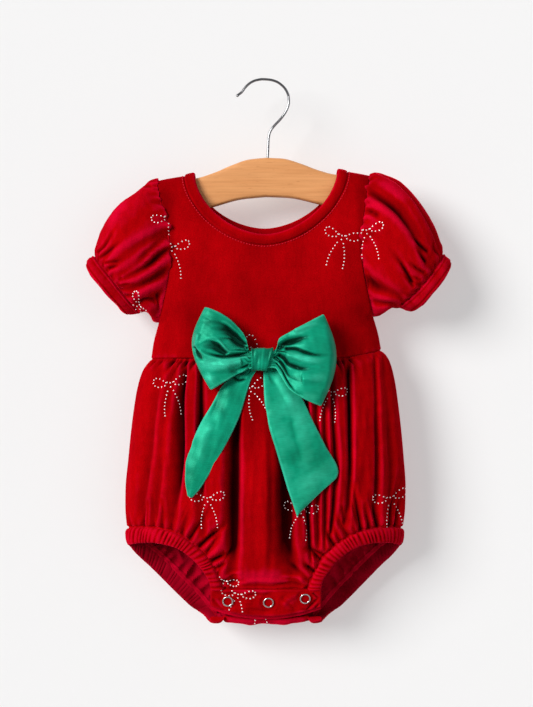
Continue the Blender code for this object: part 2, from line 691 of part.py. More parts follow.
def fold_columns(creases, corner_share):
    """(top, foot, crown, depths) of each column of points, a few to a fold, with one at each crease."""
    rows = [creases[0]._replace(top=-1, foot=-1, depth_top=0, depth_mid=0, depth_foot=0)]
    rows += list(creases)
    rows.append(creases[-1]._replace(top=1, foot=1, depth_top=0, depth_mid=0, depth_foot=0))
    table = np.array([tuple(row) for row in rows], float)
    for corner in (-corner_share, corner_share):  # a crease ends at each corner of the crotch
        nearest = np.abs(table[:, 1] - corner).argmin()
        table[nearest, 1] = corner
    place = np.arange(0, (len(table) - 1) * STEPS_PER_FOLD + 1) / STEPS_PER_FOLD
    whole = np.clip(np.floor(place).astype(int), 0, len(table) - 2)
    part = (place - whole)[:, None]
    columns = table[whole] * (1 - part) + table[whole + 1] * part
    crown = np.clip(1 - (2 * part[:, 0] - 1) ** 2, 0, 1) ** CROWN_POWER
    return columns, crown


def crease_depth(columns, crown, share):
    """How far each column cuts in at a share of the way down, nothing at the seams."""
    weights = np.stack(
        [np.interp(share, [0, 0.10, 0.5, 1], [0, 1, 0, 0]),
         np.interp(share, [0, 0.10, 0.5, 0.9, 1], [0, 0, 1, 0, 0]),
         np.interp(share, [0, 0.5, 0.9, 1], [0, 0, 1, 0])]
    )
    return (columns[:, 2:] @ weights) * (1 - crown)


PANEL_ROW_SHARES = {
    "front": (0.0, 0.07, 0.16, 0.3, 0.46, 0.62, 0.78, 0.9, 1.0),
    "back": (0.0, 0.07, 0.18, 0.38, 0.58, 0.74, 0.84, 0.88, 0.92, 0.96, 1.0),
}


def panel_point(side, x, run):
    """A point of a panel's smooth outer form: x across, and the cloth's run below the waist."""
    if side == "back":
        return turn_point(x, run)
    z = WAIST - run
    return np.stack([x, -(panel_depth("front", x, z) + SEAM_GAP / 2), z], axis=-1)


def panel_normals(side, x, run):
    def at(x, run):
        return panel_point(side, x, run)

    return form_normals(at, x, run, (0, FACING[side], 0) if side == "front" else (0, 1, -1))


def gathered_panel(side, creases, material):
    foot_at, corner_share = leg_seam(side)
    columns, crown = fold_columns(creases, corner_share)
    feet = foot_at(columns[:, 1])
    if side == "front":
        middle = np.abs(columns[:, 1]) <= corner_share + 1e-6
        feet[:, 1] = WAIST - np.where(middle, PLACKET_TOP + SEAM_GAP, feet[:, 1])
    foot_x, foot_run = feet[:, 0], feet[:, 1]

    def half_width(run):
        return panel_half_width(np.maximum(WAIST - run, TURN_TOP))

    foot_across = foot_x / half_width(foot_run)
    start = SEAM_GAP / 2
    places, cuts = [], []
    for share in PANEL_ROW_SHARES[side]:
        run = start + share * (foot_run - start)
        across = columns[:, 0] + (foot_across - columns[:, 0]) * ease(share)
        places.append(np.stack([across * half_width(run), run], axis=1))
        cuts.append(crease_depth(columns, crown, share))
    places = np.array(places)
    x, run = places[..., 0], places[..., 1]
    form = panel_point(side, x, run)
    smooth_normals = panel_normals(side, x, run)
    outer = form - smooth_normals * np.array(cuts)[..., None]
    normals = facing(grid_normals(outer), smooth_normals)
    for edge in (np.s_[0], np.s_[-1], np.s_[:, 0], np.s_[:, -1]):
        normals[edge] = smooth_normals[edge]
    inner = outer - CLOTH * normals
    inner[0, :, 2] = WAIST - SEAM_GAP / 2
    upright = np.abs(x) > PLACKET_HALF + CASING_WIDTH
    inner[upright] = keep_side(inner[upright], side)
    cloth_wall("panel_" + side, outer, inner, material)
    return columns[:, 1]


# ---------------------------------------------------------------- leg casings
CASING_SECTION = (  # share from the seam to the open edge, outer face off the panel, wall
    (0.0, 0.2, 2.2),
    (0.5, 0.8, 3.0),
    (1.0, 0.2, 2.2),
)


def leg_casing(hand, front_feet, back_feet, material):
    """One elastic casing: from the front placket, up round the side and down to the back placket."""
    halves = {}
    for side, feet in (("front", front_feet), ("back", back_feet)):
        seam_at, corner_share = leg_seam(side)
        shares = sorted({round(abs(f), 6) for f in feet if abs(f) > corner_share - 1e-5 and f * hand > 0})
        seam = seam_at(np.array(shares))
        path, _ = smooth_path(FRONT_LEG_EDGE if side == "front" else BACK_LEG_EDGE)
        edge = path(1 - (np.array(shares) - corner_share) / (1 - corner_share))
        towards = (edge - seam) / np.linalg.norm(edge - seam, axis=1, keepdims=True)
        seam = seam + towards * (SEAM_GAP + 0.1)
        if side == "front":
            seam[:, 1], edge[:, 1] = WAIST - seam[:, 1], WAIST - edge[:, 1]
        end = WAIST - PLACKET_TOP - SEAM_GAP if side == "front" else BACK_LEG_SEAM[-1].below_waist
        walls = []
        for share, proud, wall in CASING_SECTION:
            line = seam * (1 - share) + edge * share
            x, run = line[:, 0], np.minimum(line[:, 1], end)
            form = panel_point(side, x, run)
            normals = panel_normals(side, x, run)
            form[-1, 1] = 0.0
            normals[-1] = (1.0, 0.0, 0.0)
            walls.append((form + normals * proud, form + normals * (proud - wall)))
        halves[side] = [np.array([wall[k] for wall in walls]) for k in (0, 1)]
    faces = []
    for front, back in zip(halves["front"], halves["back"]):
        strip = np.concatenate([front, back[:, -2::-1]], axis=1)
        faces.append(strip * np.array([hand, 1.0, 1.0]))
    name = "leg_casing_left" if hand < 0 else "leg_casing_right"
    cloth_wall(name, faces[0], faces[1], material)


# ---------------------------------------------------------------- crotch plackets and snaps
def placket_grid(sunk, columns=9, rows=4):
    """Points of a placket's outer face, sunk behind the front panel's own surface."""
    x = np.linspace(-PLACKET_HALF, PLACKET_HALF, columns)
    bow = (x / PLACKET_HALF) ** 2
    top = np.full(columns, PLACKET_TOP)
    foot = PLACKET_FOOT + 9.0 * bow
    share = np.linspace(0, 1, rows)[:, None]
    z = top * (1 - share) + foot * share
    x = np.broadcast_to(x, z.shape)
    return np.stack([x, -(panel_depth("front", x, z) - sunk), z], axis=-1)


def plackets(material):
    front = placket_grid(0.0)
    cloth_wall("placket_front", front, inset(front, PLACKET_CLOTH, (0, -1, 0)), material)
    back = placket_grid(PLACKET_CLOTH + SNAP_SPACE)
    end = turn_point(back[-1, :, 0] * (36.4 / PLACKET_HALF), np.full(back.shape[1], 254.4))
    lowest = end[:, 2].max() + SEAM_GAP + 1.2
    top = back[0, :, 2]
    share = np.linspace(0, 1, back.shape[0])[:, None]
    back[..., 2] = top * (1 - share) + lowest * share
    back[..., 1] = -(panel_depth("front", back[..., 0], back[..., 2]) - PLACKET_CLOTH - SNAP_SPACE)
    cloth_wall("placket_back", back, inset(back, PLACKET_CLOTH, (0, -1, 0)), material)


def placket_frame(place, sunk):
    """A snap's place on the placket and its outward direction."""
    step = 0.5
    x, z = place.x, place.height
    here = placket_surface(x, z, sunk)
    across = placket_surface(x + step, z, sunk) - placket_surface(x - step, z, sunk)
    up = placket_surface(x, z + step, sunk) - placket_surface(x, z - step, sunk)
    across, up = across / np.linalg.norm(across), up / np.linalg.norm(up)
    out = np.cross(across, up)
    out = out / np.linalg.norm(out)
    return here, across, np.cross(out, across), out


def placket_surface(x, z, sunk):
    return np.array([x, -(float(panel_depth("front", x, z)) - sunk), z])


def turned_ring(name, frame, profile, sides, material):
    """A solid of revolution on a placket: profile rows are (radius, height off the cloth)."""
    here, across, up, out = frame
    angles = np.arange(sides) * 2 * math.pi / sides
    rings = []
    for radius, height in profile:
        spokes = np.cos(angles)[:, None] * across + np.sin(angles)[:, None] * up
        rings.append(here + out * height + radius * spokes)
    count = len(rings)
    closed = profile[0][0] > 0
    faces = []
    for i in range(count if closed else count - 1):
        for j in range(sides):
            a, b = i * sides + j, i * sides + (j + 1) % sides
            k = (i + 1) % count
            faces.append([a, b, k * sides + (j + 1) % sides, k * sides + j])
    return mesh_object(name, hang(np.concatenate(rings)), faces, material, smooth_angle=40.0)


def snap_disc(name, frame, radius, low, high, sides, material):
    """A plain disc between two heights off the placket."""
    here, across, up, out = frame
    angles = np.arange(sides) * 2 * math.pi / sides
    spokes = np.cos(angles)[:, None] * across + np.sin(angles)[:, None] * up
    points = np.concatenate([here + out * low + radius * spokes, here + out * high + radius * spokes])
    faces = [list(range(sides)), list(range(sides, 2 * sides))]
    faces += [[j, (j + 1) % sides, sides + (j + 1) % sides, sides + j] for j in range(sides)]
    return mesh_object(name, hang(points), faces, material, smooth_angle=40.0)


def snaps(metal):
    middle = (RING_OUTER + RING_INNER) / 2
    ring = [
        (RING_OUTER, 0.0),
        (RING_OUTER, RING_PROUD * 0.55),
        (middle, RING_PROUD),
        (RING_INNER, RING_PROUD * 0.55),
        (RING_INNER, 0.0),
    ]
    for number, place in enumerate(SNAP_PLACES, start=1):
        front = placket_frame(place, -SEAM_GAP - 0.1)
        turned_ring(f"snap_ring_{number}", front, ring, 24, metal)
        between = placket_frame(place, PLACKET_CLOTH + SNAP_SPACE / 2)
        half = SNAP_SPACE / 2 - SEAM_GAP - 0.05
        snap_disc(f"snap_core_{number}", between, SNAP_CORE_RADIUS, -half, half, 16, metal)
        inside = placket_frame(place, 2 * PLACKET_CLOTH + SNAP_SPACE)
        snap_disc(f"snap_back_{number}", inside, RING_OUTER, -1.3, -SEAM_GAP - 0.1, 16, metal)


# ---------------------------------------------------------------- sleeves and cuffs
def armhole_ring(angles):
    """Points of the armhole seam at angles in degrees, on the +X side."""
    z = armhole_height(angles)
    x = bodice_half_width(z)
    y = -np.sign(np.cos(np.radians(angles))) * armhole_depth(x, z)
    return np.stack([x + ARMHOLE_GAP, y, z], axis=1)


def cuff_axes(cuff):
    """(long direction up the cuff seam, short direction to the front, the way the cuff opens)."""
    slope, turn = math.radians(cuff.slope), math.radians(cuff.turn)
    long_way = np.array([math.cos(slope), 0, math.sin(slope)])
    level = np.array([math.sin(slope), 0, -math.cos(slope)])
    opening = level * math.cos(turn) + np.array([0, -1, 0]) * math.sin(turn)
    front_way = np.array([0, -1, 0]) * math.cos(turn) - level * math.sin(turn)
    return long_way, front_way, opening


def cuff_ring(cuff, angles, along, scale=1.0):
    long_way, front_way, opening = cuff_axes(cuff)
    turn = np.radians(angles)[:, None]
    spoke = np.sin(turn) * long_way * cuff.half_length + np.cos(turn) * front_way * CUFF_HALF_DEPTH
    return np.array([cuff.x, cuff.y, cuff.z]) + spoke * scale + opening * along


def sleeve_folds(creases):
    """(armhole angle, cuff angle, depths, crown) of each column round the sleeve."""
    table = np.array([tuple(row) for row in creases], float)
    closing = table[:1] + np.array([[360, 360, 0, 0, 0]])
    table = np.concatenate([table, closing])
    place = np.arange(0, (len(table) - 1) * STEPS_PER_FOLD) / STEPS_PER_FOLD
    whole = np.floor(place).astype(int)
    part = (place - whole)[:, None]
    columns = table[whole] * (1 - part) + table[whole + 1] * part
    crown = np.clip(1 - (2 * part[:, 0] - 1) ** 2, 0, 1) ** CROWN_POWER
    return columns, crown


def puff_curve(cuff, start, finish, angles, share):
    """A point on each of the curves that swell out from the armhole and in again at the cuff."""
    turn = np.radians(angles)
    top, foot, front = np.clip(np.sin(turn), 0, 1), np.clip(-np.sin(turn), 0, 1), np.abs(np.cos(turn))
    swell = 0.15 + cuff.crown * top + 0.2 * foot + 0.75 * front**1.5
    radial = np.stack([np.zeros_like(turn), -np.cos(turn), np.sin(turn)], axis=1)
    leave = np.array([1.0, 0, 0]) + radial * swell[:, None]
    leave /= np.linalg.norm(leave, axis=1, keepdims=True)
    outward = finish - np.array([cuff.x, cuff.y, cuff.z])
    outward /= np.linalg.norm(outward, axis=1, keepdims=True)
    arrive = cuff_axes(cuff)[2] * PUFF_ALONG - outward * PUFF_INWARD
    chord = np.linalg.norm(finish - start, axis=1, keepdims=True)
    run = np.sqrt(chord**2 + 26.0**2)
    t = share
    point = start * (2 * t**3 - 3 * t**2 + 1) + finish * (3 * t**2 - 2 * t**3)
    point = point + leave * run * PUFF_ENTRY * (t**3 - 2 * t**2 + t)
    return point + arrive * run * PUFF_EXIT * (t**3 - t**2)


SLEEVE_ROW_SHARES = (0.0, 0.12, 0.36, 0.64, 0.88, 1.0)


def sleeve(hand, material):
    cuff = CUFFS[hand]
    name = "left" if hand < 0 else "right"
    columns, crown = sleeve_folds(SLEEVE_CREASES[hand])
    start = armhole_ring(columns[:, 0])
    finish = cuff_ring(cuff, columns[:, 1], -SEAM_GAP)
    rows = np.array([puff_curve(cuff, start, finish, columns[:, 0], s) for s in SLEEVE_ROW_SHARES])
    spokes = rows - rows.mean(axis=1, keepdims=True)
    normals = facing(grid_normals(rows, wrap=True), spokes)
    cuts = np.array([crease_depth(columns, crown, s) for s in SLEEVE_ROW_SHARES])
    outer = rows - normals * cuts[..., None]
    inner = inset(outer, CLOTH, spokes, wrap=True)
    inner[0, :, 0] = np.maximum(inner[0, :, 0], outer[0, :, 0])
    opening = cuff_axes(cuff)[2]
    inner[-1] -= np.clip((inner[-1] - outer[-1]) @ opening, 0, None)[:, None] * opening
    mirror = np.array([hand, 1.0, 1.0])
    cloth_wall("sleeve_" + name, outer * mirror, inner * mirror, material, wrap=True)
    band = np.array([cuff_ring(cuff, columns[:, 1], along, scale) for along, scale in CUFF_SECTION])
    spokes = band - band.mean(axis=1, keepdims=True)
    spokes /= np.linalg.norm(spokes, axis=2, keepdims=True)
    cloth_wall("cuff_" + name, band * mirror, (band - spokes * CUFF_CLOTH) * mirror, material, wrap=True)


# ---------------------------------------------------------------- bow
def bed_point(x, z, lift):
    """A point on the form that the bow lies on, lifted off it."""
    return np.stack([x, -(bed_depth(z) * side_share(x / 118.0) + lift), z], axis=-1)


def loop_section(row, hand, across, layer, pull_in):
    """One section of a loop's layer: across is -1 at its foot and 1 at its top."""
    part = (across + 1) / 2
    x = row.foot_x + (row.top_x - row.foot_x) * part
    x = x + hand * (row.bulge - pull_in) * np.sin(math.pi * part) - hand * pull_in
    z = row.foot_z + (row.top_z - row.foot_z) * part
    flatter = 1 - 0.42 * across**2 * min(1.0, row.bulge / 3.0)
    lift = row.back if layer == "back" else row.back + (row.front - row.back) * flatter
    return bed_point(x, z, lift)


def bow_loop(hand, material):
    """A loop is one strip: out along its front layer, round the fold and back behind."""
    across = np.linspace(-1, 1, 8)
    rows = LOOPS[hand]
    walls = []
    for wall in (0.0, SATIN):
        sections = []
        for layer, run in (("front", rows), ("back", rows[-2::-1])):
            for row in run:
                at_fold = row is rows[-1]
                section = loop_section(row, hand, across, layer, wall / 2 if row.bulge > 10 else 0.0)
                section[:, 1] += 0.0 if at_fold else (wall if layer == "front" else -wall)
                sections.append(section)
        walls.append(np.array(sections).transpose(1, 0, 2))
    name = "bow_loop_left" if hand < 0 else "bow_loop_right"
    cloth_wall(name, walls[0], walls[1], material)


def bow_tail(hand, material):
    edges = smooth_rows(TAILS[hand], 14)
    share = np.linspace(0, 1, 4)[None, :]
    x = edges[:, 0:1] * (1 - share) + edges[:, 2:3] * share
    z = edges[:, 1:2] * (1 - share) + edges[:, 3:4] * share
    free = ease(np.arange(len(edges)) / 4)[:, None]
    lift = edges[:, 4:5] + 0.7 * free * np.sin(math.pi * share)
    name = "bow_tail_left" if hand < 0 else "bow_tail_right"
    cloth_wall(name, bed_point(x, z, lift + TAIL_SATIN), bed_point(x, z, lift), material)


def smooth_rows(rows, count):
    path, _ = smooth_path(rows)
    return path(np.linspace(0, 1, count))


def bow_knot(material):
    """A band wrapped over the gathered middle: a ring round the X axis."""
    angles = np.arange(20) * 2 * math.pi / 20
    squareness = 0.62
    round_y = np.sign(np.cos(angles)) * np.abs(np.cos(angles)) ** squareness
    round_z = np.sign(np.sin(angles)) * np.abs(np.sin(angles)) ** squareness
    centre_y = -(KNOT_BACK + KNOT_DEPTH / 2)
    rings = {}
    for layer, shrink in (("outer", 0.0), ("inner", SATIN)):
        rows = []
        for share, waist in ((0.0, 1.0), (0.5, 0.93), (1.0, 1.0)):
            narrow = 1 - KNOT_NARROWING * (1 - round_z) / 2
            x = KNOT_X + KNOT_WIDTH * (share * narrow - 0.5)
            y = centre_y + (KNOT_DEPTH / 2 - shrink) * round_y
            z = KNOT_Z + (KNOT_HEIGHT / 2 * waist - shrink) * round_z
            rows.append(np.stack([x, y, z], axis=1))
        rings[layer] = np.array(rows)
    cloth_wall("bow_knot", rings["outer"], rings["inner"], material, wrap=True)


# ---------------------------------------------------------------- hanger
def hanger_wood(material):
    """A curved bar lofted from rounded sections, with a hole for the hook's stem."""
    top = smooth_table([e.x for e in WOOD_TOP], [e.height for e in WOOD_TOP])
    foot = smooth_table([e.x for e in WOOD_FOOT], [e.height for e in WOOD_FOOT])
    end_length = 9.0
    straight = WOOD_END - end_length
    rounding = straight + end_length * np.sin(np.radians([25, 50, 70, 84]))
    half = np.concatenate([np.linspace(0, straight, 15), rounding])
    stations = np.concatenate([-half[:0:-1], half])
    corner = np.radians([0, 30, 60, 90])
    rings = []
    for x in stations:
        past = max(0.0, (abs(x) - straight) / end_length)
        shrink = math.sqrt(max(0.0, 1 - past**2))
        high, low = float(top(abs(x))), float(foot(abs(x)))
        middle, tall = (high + low) / 2, (high - low) / 2
        tall = (tall - end_length) + end_length * shrink
        thick = WOOD_HALF_THICKNESS * (0.45 + 0.55 * shrink)
        quarter = [(thick * math.sin(a), tall - thick * (1 - math.cos(a))) for a in corner]
        right = quarter + [(y, -z) for y, z in quarter[::-1]]
        left = [(-y, z) for y, z in right[-2:0:-1]]
        rings.append([(x, y, middle + z) for y, z in right + left])
    rings = np.array(rings)
    count, around = rings.shape[:2]
    faces = []
    for i in range(count - 1):
        for j in range(around):
            a, b = i * around + j, i * around + (j + 1) % around
            faces.append([a, b, b + around, a + around])
    faces += [list(range(around)), list(range((count - 1) * around, count * around))]
    wood = mesh_object("hanger_wood", hang(rings.reshape(-1, 3)), faces, material)
    bpy.ops.mesh.primitive_cylinder_add(
        vertices=16,
        radius=(WIRE_RADIUS + STEM_CLEARANCE) * MM,
        depth=2 * STEM_DEPTH * MM,
        location=((STEM_X - BOWL_X) * MM, 0, WOOD_TOP[0].height * MM),
    )
    drill = bpy.context.object
    drill.name = "stem_drill"
    drill.hide_render = True
    drill.display_type = "WIRE"
    cut = wood.modifiers.new("stem_hole", "BOOLEAN")
    cut.operation = "DIFFERENCE"
    cut.object = drill


def hook_route():
    """The wire's centreline from its end in the wood to the flared tip, and its length."""
    return smooth_path([(STEM_X, -68.0 - STEM_DEPTH + 1.0), *HOOK_LINE])


def tube_object(name, path, count, radius, material):
    """A wire as a curve with a round bevel and closed ends."""
    curve = bpy.data.curves.new(name, "CURVE")
    curve.dimensions = "3D"
    curve.bevel_depth = radius * MM
    curve.bevel_resolution = 3
    curve.use_fill_caps = True
    line = curve.splines.new("POLY")
    line.points.add(count - 1)
    for point, (x, z) in zip(line.points, path(np.linspace(0, 1, count))):
        point.co = ((x - BOWL_X) * MM, 0, z * MM, 1)
    curve.materials.append(material)
    wire = bpy.data.objects.new(name, curve)
    bpy.context.scene.collection.objects.link(wire)
    return wire


def hanger_hook(material):
    path, length = hook_route()
    tube_object("hanger_hook", path, round(length / (WIRE_RADIUS * 2.2)), WIRE_RADIUS, material)


# ---------------------------------------------------------------- materials and assembly
def plain_material(name, colour, roughness, metallic=0.0, sheen=0.0):
    material = bpy.data.materials.new(name)
    material.use_nodes = True
    shader = material.node_tree.nodes["Principled BSDF"]
    shader.inputs["Base Color"].default_value = (*colour, 1.0)
    shader.inputs["Roughness"].default_value = roughness
    shader.inputs["Metallic"].default_value = metallic
    shader.inputs["Sheen Weight"].default_value = sheen
    return material


def clear_scene():
    for item in list(bpy.data.objects):
        bpy.data.objects.remove(item)


def build():
    clear_scene()
    velvet = plain_material("red_velvet", (0.36, 0.002, 0.006), 0.8, sheen=0.6)
    satin = plain_material("green_satin", (0.008, 0.30, 0.17), 0.35)
    wood = plain_material("beech", (0.72, 0.35, 0.14), 0.4)
    steel = plain_material("bright_steel", (0.62, 0.63, 0.64), 0.22, metallic=1.0)
    bodice_panel("front", BAND_SEAM_FRONT, velvet)
    bodice_panel("back", BAND_SEAM_BACK, velvet)
    neck_band(velvet)
    front_feet = gathered_panel("front", FRONT_CREASES, velvet)
    back_feet = gathered_panel("back", BACK_CREASES, velvet)
    for hand in (LEFT, RIGHT):
        leg_casing(hand, front_feet, back_feet, velvet)
        sleeve(hand, velvet)
        bow_loop(hand, satin)
        bow_tail(hand, satin)
    plackets(velvet)
    snaps(steel)
    bow_knot(satin)
    hanger_wood(wood)
    hanger_hook(steel)


build()
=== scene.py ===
"""Looks of a baby's velvet bubble romper on a child's wooden hanger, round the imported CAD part.

Each maker's piece is made again as a fine wall of cloth on the same form as its CAD solid, with
its creases, gathers, ribs and seams, and stands for that solid. Tables and forms work in
millimetres, with x across from the garment's middle, y to the back and z up from the hook's
inner top; place() hangs them in the frame, in metres.
"""

import json
import math
from collections import namedtuple

import bpy
import numpy as np
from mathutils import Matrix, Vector
from mathutils.bvhtree import BVHTree

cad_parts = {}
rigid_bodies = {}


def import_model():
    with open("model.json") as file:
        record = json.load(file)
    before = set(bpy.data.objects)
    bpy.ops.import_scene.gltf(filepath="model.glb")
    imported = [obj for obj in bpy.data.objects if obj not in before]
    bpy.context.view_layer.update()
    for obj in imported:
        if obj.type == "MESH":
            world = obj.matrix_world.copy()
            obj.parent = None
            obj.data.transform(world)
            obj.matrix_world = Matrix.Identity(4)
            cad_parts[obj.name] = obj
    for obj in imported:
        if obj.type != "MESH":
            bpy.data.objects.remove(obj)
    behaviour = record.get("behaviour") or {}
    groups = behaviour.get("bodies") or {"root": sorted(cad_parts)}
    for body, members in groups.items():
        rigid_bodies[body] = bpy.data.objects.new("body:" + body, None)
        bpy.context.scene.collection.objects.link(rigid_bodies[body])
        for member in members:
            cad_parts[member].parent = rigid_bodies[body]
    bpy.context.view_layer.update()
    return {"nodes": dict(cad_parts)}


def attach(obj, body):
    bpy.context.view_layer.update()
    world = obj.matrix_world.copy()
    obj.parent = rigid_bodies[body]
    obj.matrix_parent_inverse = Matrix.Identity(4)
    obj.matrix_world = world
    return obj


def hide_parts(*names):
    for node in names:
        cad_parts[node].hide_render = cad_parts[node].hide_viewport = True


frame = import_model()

MM = 0.001
LEFT, RIGHT = -1, 1  # seen from the front: LEFT is -X
FACING = {"front": -1.0, "back": 1.0}
HAND_NAME = {LEFT: "left", RIGHT: "right"}
# Where each piece's random draws start; a left piece's come a little before, a right one's after.
SEEDS = dict(
    bodice_front=11, bodice_back=12, neck_band=21, leg_casing=31, placket=41, sleeve=51,
    cuff=71, bow_loop=81, bow_tail=91, bow_knot=95, panel_front=101, panel_back=201,
)

# ================================================================ sizes of the garment, millimetres
VELVET, SATIN, PLACKET_WALL = 1.3, 0.9, 1.9  # walls
SEAM_ROLL = 1.6  # cloth turns in over this width where it is sewn
CLEARANCE = 0.1  # how far the cloth stands off its form, and off the seams' middle plane
SHOULDER_ROLL = 7.8  # the shoulders' tops round over this drop
ARMHOLE_TOP, ARMHOLE_FOOT = -86.2, -211.0
ARMHOLE_MIDDLE, ARMHOLE_HALF = (ARMHOLE_TOP + ARMHOLE_FOOT) / 2, (ARMHOLE_TOP - ARMHOLE_FOOT) / 2
ARMHOLE_DEPTH, ARMHOLE_POWER = 18.0, 2.5  # half the ring's depth, and how square it is
WAIST, WAIST_LENGTH = -246.0, 220.0  # its height, and its length across one side
PLACKET_TOP, PLACKET_FOOT, PLACKET_HALF = -444.6, -469.3, 48.0
PLACKET_CURVE = 9.0  # its foot is this much higher at its ends
PLACKET_CLOTH, SNAP_SPACE = 2.4, 2.6
TURN_TOP, TURN_DROP, TURN_REACH = -462.0, 16.6, 16.5  # where the back turns under the crotch
TILT = 0.026  # the garment hangs a little lower on its left
BOWL_X = -3.2  # where the hook's bowl, and so the frame's origin, lies across the garment
ROUNDNESS, SIDE_CURVE = 2.5, 0.6  # how the front and back curve round to the sides


def rows_of(kind, *rows):
    return [kind(*row) for row in rows]


Level = namedtuple("Level", "height half_width front_depth back_depth")
BODICE_LEVELS = rows_of(Level,
    (-80, 91.4, 9.8, 9.8), (-86.2, 91.2, 10, 10), (-105, 88, 13, 12.4), (-125, 85, 17, 15.5),
    (-150, 83.5, 20.5, 18.5), (-170, 85, 22.5, 19), (-190, 88.9, 23.6, 19), (-211, 94.3, 24.4, 19),
    (-228, 98.5, 25.2, 19.4), (-246, 101.5, 26, 20),
)
PANEL_LEVELS = rows_of(Level,
    (-246, 101.5, 26, 20), (-250.5, 105.6, 28, 21.3), (-256, 109.3, 30.2, 22.6), (-265, 112.6, 34, 24.6),
    (-276, 115.2, 37.6, 26.4), (-303, 118.9, 43, 29), (-331, 121.6, 45.2, 30), (-358, 123.4, 44.8, 30),
    (-375, 123, 43, 29.4), (-394, 120.7, 39.4, 28), (-409, 118, 36, 26.4), (-440, 116.5, 28, 21.6),
    (-462, 116, 21.6, 17), (-480, 116, 17, 14),
)
Edge = namedtuple("Edge", "x height")
SHOULDER_LINE = rows_of(Edge,
    (0, -80.6), (62, -80.6), (72, -82.2), (80, -83.7), (91.4, -86.2), (130, -96),
)
Neck = namedtuple("Neck", "half_width drop fullness")
BAND_SEAM = {"front": Neck(71.6, 65.0, 1.8), "back": Neck(71.6, 57.6, 1.8)}
NECK_EDGE = {"front": Neck(62.3, 55.8, 1.78), "back": Neck(62.3, 48.4, 1.78)}

# Each leg's lines, from the side seam to the crotch. The back's run under it, so its rows give
# the length of cloth below the waist instead of a height.
LEG_SEAM = {
    "front": rows_of(Edge,
        (120.7, -394), (111, -392.2), (100, -391.8), (82, -394.2), (66, -402.3), (50, -416.4),
        (43.8, -427), (39.6, -436.4), (36.4, -444.3),
    ),
    "back": rows_of(Edge,
        (120.7, 148), (111, 156.4), (93.5, 171.6), (71, 194.6), (57.5, 208.4), (49.5, 218.6), (45, 228),
        (41.6, 238), (38.6, 247), (36.6, 254.4),
    ),
}
LEG_EDGE = {
    "front": rows_of(Edge,
        (118.4, -408.6), (109, -405.6), (98, -404.6), (79.6, -407.4), (64.4, -416.8), (53.4, -429.4),
        (48.6, -438.4), (47.8, -444.3),
    ),
    "back": rows_of(Edge,
        (118.4, 162.6), (113.2, 170.6), (101, 183.2), (79.8, 205.4), (64.6, 220.4), (55.4, 230),
        (51.6, 238), (49.6, 246), (48.6, 254.4),
    ),
}
BACK_RUN = 254.4
WAIST_RISE, CORNER_LIFT, RISE_REACH = 3.4, 6.0, 44.0  # the waist seam stands higher at its ends
SIDE_DROOP = 2.8  # the skirt hangs fuller on its left side
ARMHOLE_SHIFT = 4.4  # the left armhole is pulled outwards by its sleeve

Cuff = namedtuple("Cuff", "x y z half_length slope turn crown")
CUFFS = {
    LEFT: Cuff(132.4, -1.0, -176.4, 28.6, 49.5, -4.0, -0.34),
    RIGHT: Cuff(136.6, -1.0, -176.2, 29.6, 50.8, -8.0, 0.05),
}
CUFF_HALF_DEPTH, CUFF_WIDTH = 19.5, 12.0
# How strongly the puffs leave the armhole and arrive at the cuff, and their least run.
PUFF_ENTRY, PUFF_EXIT, PUFF_ALONG, PUFF_INWARD, PUFF_LEAST = 0.95, 1.0, 0.8, 0.7, 26.0

# ---------------------------------------------------------------- creases
# A crease is cut into the cloth along a line of (x, z) points, its banks reaching so far to the
# left and right of a line that runs down. A ridge stands out instead, by a negative depth.
Crease = namedtuple("Crease", "points left right depth")


def creases(*rows):
    """Creases from rows of left, right, depth and the points of the line."""
    return [Crease(points, left, right, depth) for left, right, depth, *points in rows]


# Small wrinkles that run out of the crotch's corners.
SKIRT_CREASES = creases(
    (3.5, 3, 2.8, (-43, -436), (-37, -420), (-27, -406)),
    (3, 3, 2, (-38, -442), (-26, -437), (-12, -436)),
    (2.4, 2.4, -1.4, (-40, -439), (-30, -431), (-18, -428)),
    (3.5, 3.5, 2.8, (39, -437), (31, -431), (20, -421)), (3, 3, 2, (36, -443), (22, -439), (4, -440)),
    (2.6, 2.6, -1.5, (36, -439), (26, -434), (10, -433)), (3, 3, 2.2, (-101, -364), (-101, -392)),
    (3, 4, 2, (-90, -362), (-88, -378), (-89, -392)), (3, 3, 2.2, (65, -369), (68, -390)),
    (3, 3, -1.7, (-30, -438), (-8, -436), (14, -437), (32, -441)),
    (2, 2, 1.4, (-24, -441), (-6, -441), (16, -442)),
)
BACK_SKIRT_CREASES = creases(
    (3.5, 3, 1.2, (-43, -432), (-36, -414), (-24, -396)),
    (3.5, 3.5, 1.2, (40, -430), (30, -416), (20, -404)),
    (3.5, 4, 3.4, (-87, -398), (-80, -412), (-71, -430)),
    (3, 3, 2.6, (-77, -396), (-70, -414), (-64, -428)),
    (3.5, 3, 3.4, (-63, -408), (-60, -424), (-56, -442)),
    (3.5, 4, 3.4, (88, -398), (80, -412), (70, -424)), (3, 3, 2.6, (74, -396), (70, -412), (62, -428)),
    (3.5, 3, 3.4, (62, -408), (60, -422), (54, -440)),
)
